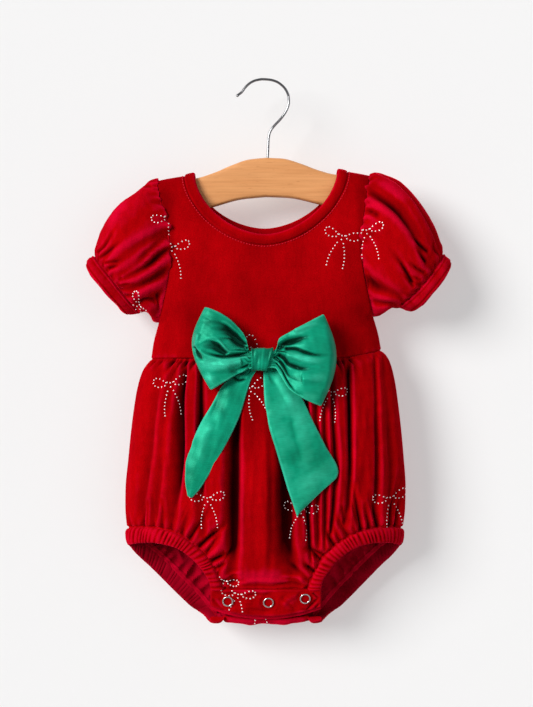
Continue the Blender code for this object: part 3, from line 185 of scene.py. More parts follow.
# The skirt's long folds: each line runs down the cloth by rows of (x, z, height), standing out of
# the form above nothing and sinking in below. Between two lines the cloth bends smoothly.
FRONT_FOLDS = (
    ((-122, -246, 0), (-126, -400, 0)),
    ((-99, -250, 0.6), (-106, -300, 1), (-112, -360, 0.8), (-113, -395, 0.4)),
    ((-92, -250, -1.4), (-98, -300, -1.4), (-104, -350, -2), (-108, -392, -2.4)),
    ((-85, -250, 0.6), (-92, -290, 1.7), (-95, -325, 2), (-99, -355, 1.8), (-103, -392, 1)),
    ((-79, -250, -1.8), (-88, -300, -0.5), (-91, -340, -0.9), (-95, -392, -2.2)),
    ((-74, -250, 0.6), (-84, -300, 0.3), (-87, -340, 0.6), (-91, -392, 1)),
    ((-69.5, -250, -3.5), (-72.5, -285, -6.8), (-72, -320, -6.8), (-75, -350, -4.6), (-80, -380, -2.6),
     (-82, -395, -3)),
    ((-66.8, -250, 0.6), (-69.2, -285, 1.2), (-68.6, -320, 1.4), (-70.6, -350, 0.8), (-74, -380, 0.6),
     (-76, -395, 0.6)),
    ((-60, -250, 0.8), (-61, -300, 1), (-61.5, -340, 0.8), (-64, -385, 0.6)),
    ((-56.5, -250, -3.5), (-57, -300, -5.2), (-56.5, -340, -4), (-55, -366, -2.5), (-54, -395, -3)),
    ((-51, -250, 0.6), (-50.5, -300, 0.8), (-51, -350, 0.6), (-48, -385, 0.5), (-46, -402, 0.5)),
    ((-38.5, -250, 0.6), (-38.8, -300, 1.3), (-39, -350, 1.7), (-38.6, -400, 1.4), (-38.4, -425, 0.9)),
    ((-25.5, -250, -4), (-25.5, -300, -7.4), (-26, -350, -8), (-27, -400, -6.4), (-29, -425, -3)),
    ((-19.5, -250, 0.3), (-19.5, -300, 0.4), (-20, -350, 0.5), (-20, -400, 0.4), (-20.6, -435, 0.2)),
    ((-11, -250, 0.9), (-11, -300, 1.1), (-11, -350, 1.3), (-11, -400, 1.1), (-12, -435, 0.4)),
    ((-2, -250, 1.4), (-1.4, -300, 2.2), (-0.6, -350, 3), (-0.4, -400, 2.6), (-3, -435, 0.6)),
    ((4, -250, 0.6), (5, -300, 0.7), (5.6, -350, 0.6), (5.6, -400, 0.4), (4, -435, 0.2)),
    ((18.6, -250, -5), (19.6, -300, -7), (20.2, -350, -7.2), (20, -395, -6), (22, -425, -3)),
    ((23.6, -250, 0.6), (24.4, -300, 0.8), (25, -350, 1), (26.5, -395, 0.8), (33, -425, 0.4)),
    ((30.2, -250, 0.6), (30.6, -300, 0.6), (31, -350, 0.6), (33, -395, 0.6), (37, -425, 0.2)),
    ((34.5, -250, -4.5), (34.6, -300, -5), (34.8, -350, -5), (37, -395, -4.4), (40, -425, -2.4)),
    ((38.4, -250, 0.4), (38.6, -300, 0.5), (39, -350, 0.6), (41, -395, 0.4)),
    ((43.4, -250, -3), (43.6, -300, -3.6), (43.8, -350, -3.6), (45, -395, -3.2)),
    ((46.8, -250, 0.2), (47, -300, 0.3), (47.2, -350, 0.4), (48, -395, 0.2)),
    ((50.2, -250, -3), (50.6, -300, -4), (50.8, -350, -4.2), (51, -395, -3.4)),
    ((53.6, -250, 0.2), (54.4, -300, 0.3), (55, -350, 0.4), (54, -395, 0.2)),
    ((56.4, -250, -3.6), (58.2, -300, -5), (60.2, -335, -5.6), (58.5, -365, -5), (55.4, -400, -4.2)),
    ((60, -250, 0.6), (62.2, -300, 1), (64.2, -335, 1.2), (62.5, -365, 0.9), (59.4, -400, 0.6)),
    ((66, -250, 0.4), (67.4, -300, 0.6), (68, -335, 0.6), (66.4, -365, 0.4), (63.4, -396, 0.3)),
    ((72.6, -250, -6), (73.4, -300, -6.8), (73.4, -330, -5.4), (71.8, -360, -4.4), (68, -392, -3)),
    ((75.6, -250, 0.8), (76.2, -300, 1.5), (76.4, -330, 1.3), (75.8, -360, 0.4), (73, -392, 0.2)),
    ((84, -250, 1), (85, -300, 1.5), (84, -330, 1), (83, -352, -1.8), (83, -375, 0), (82, -392, 0.4)),
    ((91, -250, 0.9), (92.4, -300, 1.1), (92.6, -340, 0.6), (92, -365, 0.4), (90, -392, 0.4)),
    ((94.6, -250, -1.8), (95.8, -300, -2.9), (96.2, -340, -4), (95.4, -365, -4), (93.4, -392, -3.8)),
    ((98, -250, 0.5), (100, -300, 0.9), (101, -340, 1.1), (101, -370, 0.9), (99, -392, 0.6)),
    ((103, -255, -1), (107, -300, -1.9), (109.5, -340, -3), (108, -375, -2.8), (106, -392, -2)),
    ((109, -255, 0.4), (113, -300, 0.6), (115, -340, 0.6), (113, -375, 0.5), (111, -392, 0.4)),
    ((122, -246, 0), (126, -400, 0)),
)
BACK_FOLDS = (
    ((-122, -246, 0), (-126, -400, 0)),
    ((-104, -262, 0.8), (-110, -320, 1.2), (-111, -392, 0.6)),
    ((-97, -262, -1.6), (-102, -320, -2.6), (-103, -392, -2.4)),
    ((-88, -250, 0.8), (-92, -320, 1.2), (-92, -392, 0.8)),
    ((-78, -250, -3.4), (-79, -320, -5.2), (-74, -400, -3)),
    ((-73, -250, 0.8), (-72, -320, 1.2), (-66, -408, 0.6)),
    ((-64, -250, 0.6), (-65, -320, 0.8), (-60, -410, 0.4)),
    ((-60, -250, -3.2), (-60, -320, -4.2), (-52, -412, -2.6)),
    ((-55, -250, 0.8), (-55, -320, 1.2), (-46, -414, 0.6)),
    ((-41, -250, -4), (-43, -320, -6), (-36, -430, -3.4)),
    ((-36, -250, 0.8), (-37, -320, 1.2), (-31, -430, 0.6)),
    ((-20, -250, -3), (-22, -320, -4.2), (-20, -430, -2)),
    ((-14, -250, 0.8), (-14, -320, 1.4), (-13, -440, 0.6)),
    ((-2, -250, -3.4), (2, -320, -5.6), (-1, -440, -3)),
    ((5, -250, 0.8), (9, -320, 1.4), (6, -440, 0.6)),
    ((20, -250, -3.2), (24, -320, -4.8), (22, -430, -2.6)),
    ((25, -250, 0.6), (29, -320, 1), (27, -430, 0.6)),
    ((34, -250, 0.8), (37, -320, 1.2), (34, -430, 0.6)),
    ((42, -250, -4.2), (46, -320, -6.2), (41, -424, -3.4)),
    ((47, -250, 0.8), (51, -320, 1.2), (46, -414, 0.6)),
    ((57, -250, 0.4), (59, -320, 0.8), (54, -412, 0.4)),
    ((62, -250, -3), (65, -320, -4), (60, -408, -2.6)),
    ((68, -250, 0.8), (71, -320, 1.2), (67, -404, 0.6)),
    ((79, -250, -3.4), (84, -320, -4.8), (82, -396, -2.8)),
    ((86, -250, 0.6), (91, -320, 1.2), (90, -392, 0.6)),
    ((98, -262, -1.6), (104, -320, -2.6), (104, -392, -2.2)),
    ((105, -262, 0.6), (111, -320, 0.8), (111, -392, 0.6)),
    ((122, -246, 0), (126, -400, 0)),
)
# The sleeves' folds run from the armhole to the cuff on their front halves, from the crown down;
# each back half takes the other sleeve's.
SLEEVE_FOLDS = {
    LEFT: (
        ((-98, -84, 0), (-126, -104, 0), (-147, -136, 0), (-151, -154, 0)),
        ((-99, -94, 0.3), (-116, -107, 0.9), (-131, -124, 1.1), (-140, -142, 0.9), (-145, -156, 0.6)),
        ((-95, -106, -0.4), (-108, -119, -0.9), (-121, -133, -1.2), (-132, -147, -1.4),
         (-140, -158, -1.6)),
        ((-86, -124, 1.2), (-97, -131, 1.7), (-113, -139, 1.7), (-127, -149, 1.2), (-137, -161, 0.8)),
        ((-86, -131, -1.2), (-97, -139, -1.8), (-111, -146, -1.6), (-123, -155, -1.4),
         (-134, -165, -1.8)),
        ((-87, -134, 0.4), (-98, -143, 0.5), (-109, -151, 0.5), (-120, -160, 0.5), (-131, -168, 0.7)),
        ((-88, -137, -2.6), (-98, -146, -3.6), (-106, -154, -2.8), (-112, -162, -0.8),
         (-127, -171, -1.2)),
        ((-88, -142, 0.7), (-97, -151, 0.9), (-104, -159, 0.9), (-112, -166, 0.8), (-126, -174, 0.8)),
        ((-87, -148, -4.6), (-96, -157, -6.4), (-107, -164, -4.8), (-118, -170, -3.2),
         (-129, -175, -2.4)),
        ((-85, -153, 1), (-97, -165, 2), (-111, -173, 2), (-124, -178, 1.6), (-128, -181, 1)),
        ((-84, -162, -3.4), (-96, -172, -4.4), (-109, -179, -3.2), (-120, -183, -2.2),
         (-124, -185, -1.8)),
        ((-86, -174, 0.6), (-97, -180, 0.9), (-108, -185, 0.8), (-117, -189, 0.7), (-121, -189, 0.7)),
        ((-88, -184, -2), (-98, -190, -2.4), (-107, -193, -2.4), (-114, -196, -2)),
        ((-92, -196, 0.8), (-99, -199, 1.4), (-106, -199, 1.2), (-112, -199, 0.6)),
        ((-93, -214, 0), (-101, -208, 0), (-110, -203, 0)),
    ),
    RIGHT: (
        ((97, -82, 0), (118, -92, 0), (140, -119, 0), (153, -145, 0), (156, -155, 0)),
        ((98, -85.5, -0.5), (113, -93, -0.9), (126, -104, -1.1), (136, -118, -1.1), (144.5, -134, -1.1),
         (152.5, -154, -1.4)),
        ((98, -87.5, 0.6), (112, -95, 0.8), (124.5, -106, 0.8), (134.5, -120, 0.8), (142.5, -136, 0.6),
         (150, -156, 0.4)),
        ((95, -90, 0.6), (108, -98.5, 0.2), (120, -109, -0.3), (130, -123, -0.6), (139, -139, -0.6),
         (147, -158, -0.4)),
        ((91.5, -94.5, -0.8), (103, -103, -2.4), (115, -113, -3.4), (125.5, -126, -3.2),
         (135, -141, -2.2), (144, -160, -1.4)),
        ((87.5, -99.5, -2.6), (98, -107.5, -5.4), (109.5, -117, -6.4), (120.5, -129, -5.6),
         (130.5, -143, -3.8), (140, -163, -2)),
        ((85, -103, 1), (95, -111, 1.5), (106, -120, 1.6), (117, -132, 1.4), (127, -145, 1.1),
         (136, -166, 0.8)),
        ((86, -116, 0.1), (99, -126, 0.3), (110, -137, 0.3), (119, -149, 0.3), (127, -160, 0.3),
         (134, -169, 0.4)),
        ((85, -142, 0.2), (94, -150, 0.3), (104, -160, 0.3), (113, -171, 0.3), (122, -184, 0.3)),
        ((86, -166, 0.9), (94, -172, 1.3), (106, -181, 1.3), (116, -188, 1), (119, -190, 0.8)),
        ((88, -181, -6.2), (96, -186, -5.2), (107, -191, -3), (116, -194, -2)),
        ((92, -193, 0.6), (106, -196, 0.9), (112, -197, 0.9), (116, -197, 0.7)),
        ((92, -198, -2.4), (103, -200, -2.6), (112, -200, -2.2)),
        ((93, -203, 0.6), (103, -203, 0.8), (114, -203, 0.6)),
        ((94, -212, 0), (104, -209, 0), (114, -206, 0)),
    ),
}
# Small tucks and frills where the sleeves are gathered into the armholes.
SLEEVE_CREASES = {
    LEFT: creases(
        (2.2, 2.2, 3.2, (-106, -91), (-100, -92), (-95, -93)),
        (2, 2, 1.8, (-88, -113), (-93, -116), (-99, -117)),
        (3, 3, 3, (-94, -184), (-93, -194), (-95, -204)),
        (2.4, 2.4, 2.8, (-113, -196), (-104, -191), (-97, -192), (-94, -198)),
        (5, 5, -0.6, (-118, -104), (-134, -124), (-142, -146)),
    ),
    RIGHT: creases(
        (3.8, 3.2, 5.4, (84, -117), (91, -119), (100, -125)),
        (2.8, 2.8, -3.2, (84, -128), (92, -131), (100, -132), (103, -128), (99, -122)),
        (2.2, 2.4, 3.4, (84, -136), (92, -139), (99, -144)),
        (1.5, 1.5, 2.2, (84, -108), (88, -109), (92, -112)),
        (1.5, 1.5, 1.8, (84, -101), (88, -103), (91, -107)),
        (1.6, 1.6, -1, (88, -88), (87, -96), (85, -102)),
    ),
}
# Painted highlights on the sleeves' pile, in shares of its tone.
SLEEVE_HIGHLIGHTS = {
    LEFT: creases(
        (7, 7, -0.2, (-119, -100), (-130, -116), (-138, -134)),
        (3.5, 3.5, -0.16, (-92, -126), (-108, -136), (-124, -146)),
        (5, 5, -0.16, (-92, -176), (-106, -183), (-116, -187)),
    ),
    RIGHT: creases(
        (7, 7, -0.22, (96, -92), (110, -100), (124, -113)),
        (4, 4, -0.16, (92, -206), (102, -205), (112, -204)),
    ),
}
# Pleats that start thin on the puff and deepen towards the cuff.
SLEEVE_PLEATS = {
    LEFT: creases(
        (2, 2.6, 2.4, (-129, -128), (-136, -139), (-141, -147), (-148, -153)),
        (2, 2.6, 2.4, (-124, -139), (-134, -148), (-146, -158)),
        (2, 2.4, 2.6, (-122, -155), (-129, -159), (-141, -162)),
        (1.8, 2.2, 2.4, (-125, -162), (-131, -164), (-138, -167)),
        (2, 2.4, 2.6, (-112, -176), (-121, -178), (-129, -181)),
        (1.8, 2, 2.2, (-110, -186), (-117, -187), (-123, -188)),
    ),
    RIGHT: creases(
        (2, 2.6, 3, (119, -139), (132, -145), (142, -153)),
        (2, 2.6, 3.2, (127, -145), (133, -155), (140, -162)),
        (1.8, 2, 2.4, (145, -140), (146, -148), (151, -156)),
        (2.2, 3, 4.2, (107, -154), (115, -164), (122, -174), (128, -182)),
        (2, 2.4, 3, (119, -161), (129, -167), (138, -171)),
        (2, 2.2, 2.6, (116, -173), (122, -178), (128, -184)),
        (1.8, 1.8, 2.4, (124, -175), (129, -176), (134, -177)),
    ),
}

# ---------------------------------------------------------------- bow
Bed = namedtuple("Bed", "height depth")
BOW_BED = rows_of(Bed,
    (-190, 29.4), (-220, 29.6), (-246, 30.2), (-256, 30.9), (-264, 34.2), (-285, 40.6), (-310, 44.3),
    (-345, 45.8), (-375, 43.6), (-400, 38.8),
)
BED_HALF_WIDTH = 118.0  # of the cloth that the bow lies on
KNOT_X, KNOT_Z = -3.1, -245.2
KNOT_WIDTH, KNOT_HEIGHT, KNOT_DEPTH, KNOT_BACK = 19.0, 20.6, 11.4, 32.3
LoopRow = namedtuple("LoopRow", "top_x top_z foot_x foot_z bulge back front")
LOOPS = {
    LEFT: rows_of(LoopRow,
        (-4.2, -238, -4.2, -252.5, 0, 6, 10.6), (-13.4, -237.8, -13.4, -252.8, 0, 6, 10.6),
        (-17.2, -226, -17.6, -254.8, 1, 4.8, 11.8), (-23.6, -216.8, -24.4, -257.6, 3, 3.9, 14.4),
        (-35.6, -206.2, -33, -262.6, 7, 3.2, 18.2), (-47, -200.4, -42.4, -268.2, 11, 3.4, 17),
        (-51.4, -198.8, -46.6, -270.6, 13.2, 5.2, 12.8), (-52.4, -198.6, -47.4, -271, 13.8, 7.6, 9.6),
    ),
    RIGHT: rows_of(LoopRow,
        (-2, -238, -2, -252.5, 0, 6, 10.6), (7.2, -237.8, 7.2, -252.8, 0, 6, 10.6),
        (10.8, -227.8, 11, -257.4, 1, 4.8, 11.8), (18.4, -223, 20, -271.6, 3, 3.9, 14.4),
        (31, -216.4, 32, -279.6, 6.5, 3.2, 18.2), (44, -210, 42.4, -284.4, 10, 3.4, 17),
        (48.6, -207.8, 46, -285.8, 11.8, 5.2, 12.8), (49.6, -207.4, 46.8, -286.2, 12.3, 7.6, 9.6),
    ),
}
LOOP_CREASES = {
    LEFT: creases(
        (1.8, 10, 5.6, (-15, -233.5), (-20, -228.5), (-28, -220), (-37, -213.5), (-47, -211.5)),
        (1.8, 4.6, 4.8, (-14, -236), (-22, -231.5), (-31, -226.5), (-41, -227)),
        (1.6, 1.6, -1.6, (-14, -234.5), (-20, -229.4), (-27, -224.2), (-35, -220.4), (-44, -223)),
        (2.2, 1.4, -0.9, (-32, -239), (-35.6, -234.4), (-40.6, -228.6), (-45.8, -225.8), (-52, -228.4)),
        (1.6, 9.5, 4.4, (-31, -240), (-36, -236), (-42, -231), (-48, -229.4), (-55, -232)),
        (4.5, 6, 3.4, (-32, -241), (-38, -238.6), (-46, -236), (-55, -235)),
        (1.4, 2.2, 3.2, (-12, -238), (-22, -236.6), (-31, -237.4)),
        (5, 1.8, 6.8, (-12, -240), (-23, -241.8), (-36, -243.4), (-49, -241), (-58, -237)),
        (4, 4, 4.6, (-64, -235), (-58, -243), (-52, -249)),
        (4, 8, -2.6, (-20, -246), (-36, -249.5), (-52, -252)),
        (1.6, 2.6, 3, (-14, -249), (-21, -252), (-29, -255.4)),
        (1.6, 2.4, 2.6, (-14, -252), (-20, -257), (-28, -261)),
        (3, 3, -1.2, (-58, -222), (-60, -234), (-59, -246)),
    ),
    RIGHT: creases(
        (1.6, 1.6, 3.4, (7.4, -238), (7, -232), (8.6, -227.6)),
        (6, 4.4, 5.2, (8, -236.4), (18, -231), (30, -227.6), (41, -225.6)),
        (1.3, 1.3, -1.3, (8, -234.4), (15, -233.4), (23, -235)),
        (5, 2, 4.6, (14, -235.6), (23, -236), (33, -239.4), (45, -242.8), (57, -243.6)),
        (1.2, 1.4, 2.8, (8, -238), (15, -239), (22, -240.6)),
        (1.8, 5.4, 5.6, (8, -241.4), (14, -245), (18, -250), (30, -254.2), (41, -254.6)),
        (1.4, 5, 4.4, (6, -243), (13, -250), (19, -259), (28, -264)),
        (1.2, 1.4, 3.4, (7, -247), (13, -254.4), (19, -265.6), (25, -273.4), (34, -278)),
        (4, 5, -2.2, (16, -241.6), (30, -245.4), (48, -249.6)),
        (6, 7, -1.8, (30, -263), (42, -262), (52, -258)),
        (3, 4, -1.6, (24, -222), (38, -216.6), (48, -214)),
    ),
}
# Painted sheen on the satin: painted shade in soft dark patches along lines, or painted highlight by a
# negative depth, in shares of its tone.
LOOP_PAINTED_SHEEN = {
    LEFT: creases(
        (8, 8, 0.22, (-56, -214), (-46, -212), (-36, -213)),
        (7, 7.5, 0.4, (-16, -231), (-26, -223.6), (-38, -219), (-52, -217)),
        (6, 6, 0.42, (-57, -233), (-50, -233), (-42, -235), (-32, -239.6)),
        (4.5, 4.5, 0.3, (-64, -236), (-60, -242), (-54, -247)),
        (4, 4, 0.22, (-34, -252), (-26, -256), (-16, -258)),
        (5, 5, -0.24, (-61, -206), (-56, -203), (-50, -202)),
        (7, 8, -0.34, (-62, -250), (-46, -250), (-30, -246), (-16, -241)),
        (6, 6, -0.16, (-54, -256), (-46, -262), (-40, -262)), (3, 3, -0.2, (-63, -222), (-63, -232)),
    ),
    RIGHT: creases(
        (5, 5, 0.3, (12, -231), (26, -229), (40, -225)),
        (3.2, 3.2, 0.2, (24, -235), (40, -240), (56, -243)),
        (5.5, 5.5, 0.3, (18, -251), (30, -254), (42, -255)),
        (4.5, 4.5, 0.22, (20, -258), (28, -263), (38, -266)),
        (5, 5, 0.14, (54, -226), (57, -240), (56, -252)),
        (4, 4, -0.18, (18, -226), (34, -220), (47, -213)),
        (4.5, 4.5, -0.24, (20, -241), (36, -246), (52, -247)),
        (6, 6, -0.14, (36, -262), (48, -262), (54, -258)),
        (5, 5, -0.16, (30, -274), (40, -278), (46, -276)),
    ),
}
Tail = namedtuple("Tail", "left_x left_z right_x right_z lift")
TAILS = {
    LEFT: rows_of(Tail,
        (-12, -240, -4.5, -240, 0.2), (-15.6, -250, -6.6, -252, 0.3), (-25, -257, -12.8, -262.5, 0.5),
        (-37, -266.5, -17, -275.5, 0.5), (-46.6, -283, -22.4, -293, 0.5), (-57, -300.6, -31, -311.6, 1.5),
        (-64.2, -318, -41.8, -331, 0.5), (-69, -335, -51.4, -348, 0.9), (-69.2, -348, -57.2, -357, 1.5),
        (-67, -362, -63, -363.6, 1.7),
    ),
    RIGHT: rows_of(Tail,
        (-2.6, -240, 6, -240, 0.2), (-2.4, -252, 10, -250.5, 0.3), (-2.2, -266, 20, -262, 0.5),
        (-1.4, -280, 30.4, -278, 1.2), (1, -297, 39.4, -297, 0.5), (8.6, -323, 51, -320, 1.5),
        (15.4, -346, 61.8, -342, 0.5), (16.6, -350, 60.6, -346.6, 0.5), (17.8, -354.2, 57, -350.2, 0.6),
        (20.4, -361.6, 47.4, -358.4, 0.9), (23, -369.4, 38, -367.2, 1.2), (25.6, -377.2, 29.4, -376, 1.5),
        (26.2, -379.2, 27.2, -378.8, 1.5),
    ),
}
TAIL_CREASES = {
    LEFT: creases(
        (2.4, 2.4, 2.4, (-30, -258), (-23, -262.6), (-15, -261)),
        (2, 2, 2, (-31, -254), (-24, -257.4), (-17, -255.6)),
        (7, 8, 1.2, (-36, -268), (-42, -282), (-50, -298)),
        (8, 8, -1.2, (-46, -296), (-54, -316), (-58, -340)),
    ),
    RIGHT: creases(
        (6, 7, -1.3, (8, -254), (16, -270), (26, -290)), (9, 9, 1, (20, -290), (24, -312), (32, -338)),
    ),
}
# Painted sheen on the tails: painted shade along lines, or painted highlight by a negative depth, in
# shares of its tone.
TAIL_PAINTED_SHEEN = {
    LEFT: creases(
        (7, 7, 0.14, (-22, -260), (-30, -272), (-38, -284)),
        (8, 8, 0.2, (-40, -272), (-38, -286), (-32, -300)),
        (11, 11, -0.09, (-40, -280), (-50, -300), (-55, -322), (-56, -346)),
        (5, 5, 0.12, (-58, -322), (-64, -344), (-65, -360)),
        (5, 5, 0.1, (-26, -290), (-38, -314), (-52, -340)),
    ),
    RIGHT: creases(
        (7, 7, 0.12, (0, -254), (3, -268), (8, -290)), (2.6, 3, 0.4, (1, -252), (3, -261), (7, -270)),
        (10, 10, -0.12, (10, -258), (22, -280), (30, -304), (30, -326)),
        (12, 12, 0.16, (42, -300), (46, -320), (38, -346)),
        (8, 8, 0.16, (14, -316), (23, -330), (27, -350)),
        (9, 9, -0.15, (24, -358), (36, -350), (54, -338)), (5, 5, 0.1, (2, -286), (7, -310), (15, -340)),
    ),
}

# ---------------------------------------------------------------- snaps and hanger
SNAP_PLACES = (Edge(-33.0, -454.8), Edge(2.0, -455.8), Edge(33.8, -452.4))
RING_OUTER, RING_INNER, RING_PROUD = 4.75, 3.5, 1.2
WIRE_RADIUS = 1.15
STEM_X = 1.4
HOOK_LINE = rows_of(Edge,
    (1.4, -70), (1.8, -60), (2.1, -52.5), (2.8, -47.4), (4.6, -43.2), (7.6, -39.4), (11.6, -35.2),
    (15.6, -30.2), (18.6, -24.8), (20, -19.4), (19.8, -14.2), (17.8, -8.8), (14.2, -4.4), (9, -0.9),
    (3.4, 0.7), (-3.2, 1.15), (-8.6, 0.3), (-13.8, -2), (-18.2, -6), (-21.6, -10.4), (-24.2, -12.4),
)
STEM_DEPTH = 18.0
WOOD_HALF_THICKNESS = 5.5
WOOD_END = 112.0
WOOD_TOP = rows_of(Edge,
    (0, -68), (15, -69.2), (30, -73.8), (45, -79.8), (60, -84.2), (66, -84.9), (72, -85.1), (80, -85.7),
    (91, -88.8), (102, -93), (112, -98),
)
WOOD_FOOT = rows_of(Edge,
    (0, -102.6), (20, -104), (47, -110.4), (75, -117), (102, -121), (112, -121.4),
)


# ================================================================ curves, tables and fields
def smooth_table(knots, values):
    """A function through the table's points that bends smoothly and never overshoots them."""
    knots, values = np.array(knots, float), np.array(values, float)
    order = np.argsort(knots)
    knots, values = knots[order], values[order]
    slopes = np.diff(values) / np.diff(knots)
    tangents = np.concatenate([slopes[:1], np.zeros(len(knots) - 2), slopes[-1:]])
    for i in range(1, len(knots) - 1):
        if slopes[i - 1] * slopes[i] > 0:
            tangents[i] = 2 / (1 / slopes[i - 1] + 1 / slopes[i])

    def at(x):
        x = np.clip(np.asarray(x, float), knots[0], knots[-1])
        i = np.clip(np.searchsorted(knots, x) - 1, 0, len(knots) - 2)
        step = knots[i + 1] - knots[i]
        t = (x - knots[i]) / step
        value = values[i] * (2 * t**3 - 3 * t**2 + 1) + values[i + 1] * (3 * t**2 - 2 * t**3)
        bend = tangents[i] * (t**3 - 2 * t**2 + t) + tangents[i + 1] * (t**3 - t**2)
        return value + step * bend

    return at


def run_along(points):
    """How far along a line of points each one lies."""
    steps = np.linalg.norm(np.diff(points, axis=0), axis=1)
    return np.concatenate([[0], np.cumsum(steps)])


def smooth_path(points):
    """(function of share 0 to 1 along a smooth line through the points, its length)."""
    points = np.array(points, float)
    chord = run_along(points)
    columns = [smooth_table(chord, column) for column in points.T]
    fine = np.linspace(0, chord[-1], 600)
    line = np.stack([column(fine) for column in columns], axis=1)
    along = run_along(line)

    def at(share):
        where = np.interp(np.asarray(share, float) * along[-1], along, fine)
        return np.stack([column(where) for column in columns], axis=-1)

    return at, along[-1]


def ease(t):
    t = np.clip(t, 0, 1)
    return t * t * (3 - 2 * t)


def bell(offset, width):
    return np.exp(-((offset / width) ** 2))


def column_of(levels, name):
    return smooth_table([level.height for level in levels], [getattr(level, name) for level in levels])


def edge_table(rows):
    return smooth_table(*np.array(rows, float).T)


shoulder_height = edge_table(SHOULDER_LINE)
bodice_half_width = column_of(BODICE_LEVELS, "half_width")
bodice_depths = {side: column_of(BODICE_LEVELS, side + "_depth") for side in FACING}
panel_half_width = column_of(PANEL_LEVELS, "half_width")
panel_depths = {side: column_of(PANEL_LEVELS, side + "_depth") for side in FACING}
bed_depth = edge_table(BOW_BED)


def nearest(x, z, line):
    """(distance, which bank: -1 or 1, length along) of points from a line of (x, z) points."""
    lengths = run_along(line)
    best = np.full(x.shape, np.inf)
    bank, along = np.ones(x.shape), np.zeros(x.shape)
    for k in range(len(line) - 1):
        a, step = line[k], line[k + 1] - line[k]
        t = np.clip(((x - a[0]) * step[0] + (z - a[1]) * step[1]) / (step @ step), 0, 1)
        dx, dz = x - a[0] - t * step[0], z - a[1] - t * step[1]
        distance = np.hypot(dx, dz)
        closer = distance < best
        best = np.where(closer, distance, best)
        bank = np.where(closer, np.where(step[0] * dz - step[1] * dx >= 0, 1, -1), bank)
        along = np.where(closer, lengths[k] + t * (lengths[k + 1] - lengths[k]), along)
    return best, bank, along


def crease_field(x, z, creases, start=0.22, finish=0.30):
    """How far the creases cut into the cloth at each (x, z); ridges count below nothing.

    They fade in over the start and out over the finish, in shares of their length.
    """
    cuts, ridges = np.zeros(x.shape), np.zeros(x.shape)
    for crease in creases:
        path, length = smooth_path(crease.points)
        line = path(np.linspace(0, 1, 18))
        reach = max(crease.left, crease.right)
        low, high = line.min(axis=0) - reach, line.max(axis=0) + reach
        near = (x > low[0]) & (x < high[0]) & (z > low[1]) & (z < high[1])
        if not near.any() or crease.depth == 0:
            continue
        distance, bank, along = nearest(x[near], z[near], line)
        width = np.where(bank > 0, crease.right, crease.left)
        share = np.clip(1 - distance / width, 0, 1)
        fade = ease(along / (start * length)) * ease((length - along) / (finish * length))
        if crease.depth > 0:
            cuts[near] += (crease.depth * share**1.5 * (0.06 + 0.94 * fade)) ** 3
        else:
            ridges[near] += crease.depth * ease(share) * fade
    return np.cbrt(cuts) + ridges


def fold_heights(x, z, folds):
    """How far the folded cloth stands out at each (x, z); the folds come in order of x."""
    tables = [np.array(fold, float).T for fold in folds]
    places = [smooth_table(heights, xs)(z) for xs, heights, _ in tables]
    levels = [smooth_table(heights, outs)(z) for _, heights, outs in tables]
    found = np.zeros(x.shape)
    for k in range(len(folds) - 1):
        span = np.maximum(places[k + 1] - places[k], 0.5)
        inside = (x >= places[k]) & (x < places[k + 1])
        bend = ease((x - places[k]) / span)
        found = np.where(inside, levels[k] + (levels[k + 1] - levels[k]) * bend, found)
    return found


Gather = namedtuple("Gather", "spacing reach depth width", defaults=[0.5])


def gathers(along, away, length, gather, seed):
    """Uneven pleats that start at a seam of some length and fade away from it."""
    rng = np.random.default_rng(seed)
    count = max(2, round(length / gather.spacing))
    starts = (np.arange(count) + 0.5 + rng.uniform(-0.3, 0.3, count)) * length / count
    cut = np.zeros(np.broadcast(along, away).shape)
    for start in starts:
        reach = gather.reach * rng.uniform(0.45, 1.5)
        depth = gather.depth * rng.uniform(0.55, 1.25)
        lean = rng.uniform(-0.2, 0.2)
        fade = (1 - ease(away / reach)) * ease(away / 3.0 + 0.42)
        half = gather.spacing * gather.width * (1 + 0.3 * away / reach)
        off = np.abs(along - start - lean * away)
        cut = np.maximum(cut, depth * np.clip(1 - off / half, 0, 1) ** 1.4 * fade)
    return cut


def ripple(x, z, size, seed):
    """Soft uneven waves about one unit high, some size millimetres apart."""
    rng = np.random.default_rng(seed)
    total = 0
    for _ in range(9):
        turn, start = rng.uniform(0, 2 * math.pi, 2)
        wave = size * rng.uniform(0.6, 1.7)
        total = total + np.sin((x * math.cos(turn) + z * math.sin(turn)) * 2 * math.pi / wave + start)
    return total / 3


def blurred(field, times, wrap=False):
    """The field, smoothed over its grid."""
    for _ in range(times):
        rows = np.pad(field, ((1, 1), (0, 0)), mode="edge")
        field = (rows[:-2] + 2 * rows[1:-1] + rows[2:]) / 4
        columns = np.pad(field, ((0, 0), (1, 1)), mode="wrap" if wrap else "edge")
        field = (columns[:, :-2] + 2 * columns[:, 1:-1] + columns[:, 2:]) / 4
    return field


def tuck(distance, width=SEAM_ROLL):
    """How far the cloth has turned in, that close to a seam."""
    t = np.clip(1 - distance / width, 0, 1)
    return width * (1 - np.sqrt(1 - t**2 * 0.998))


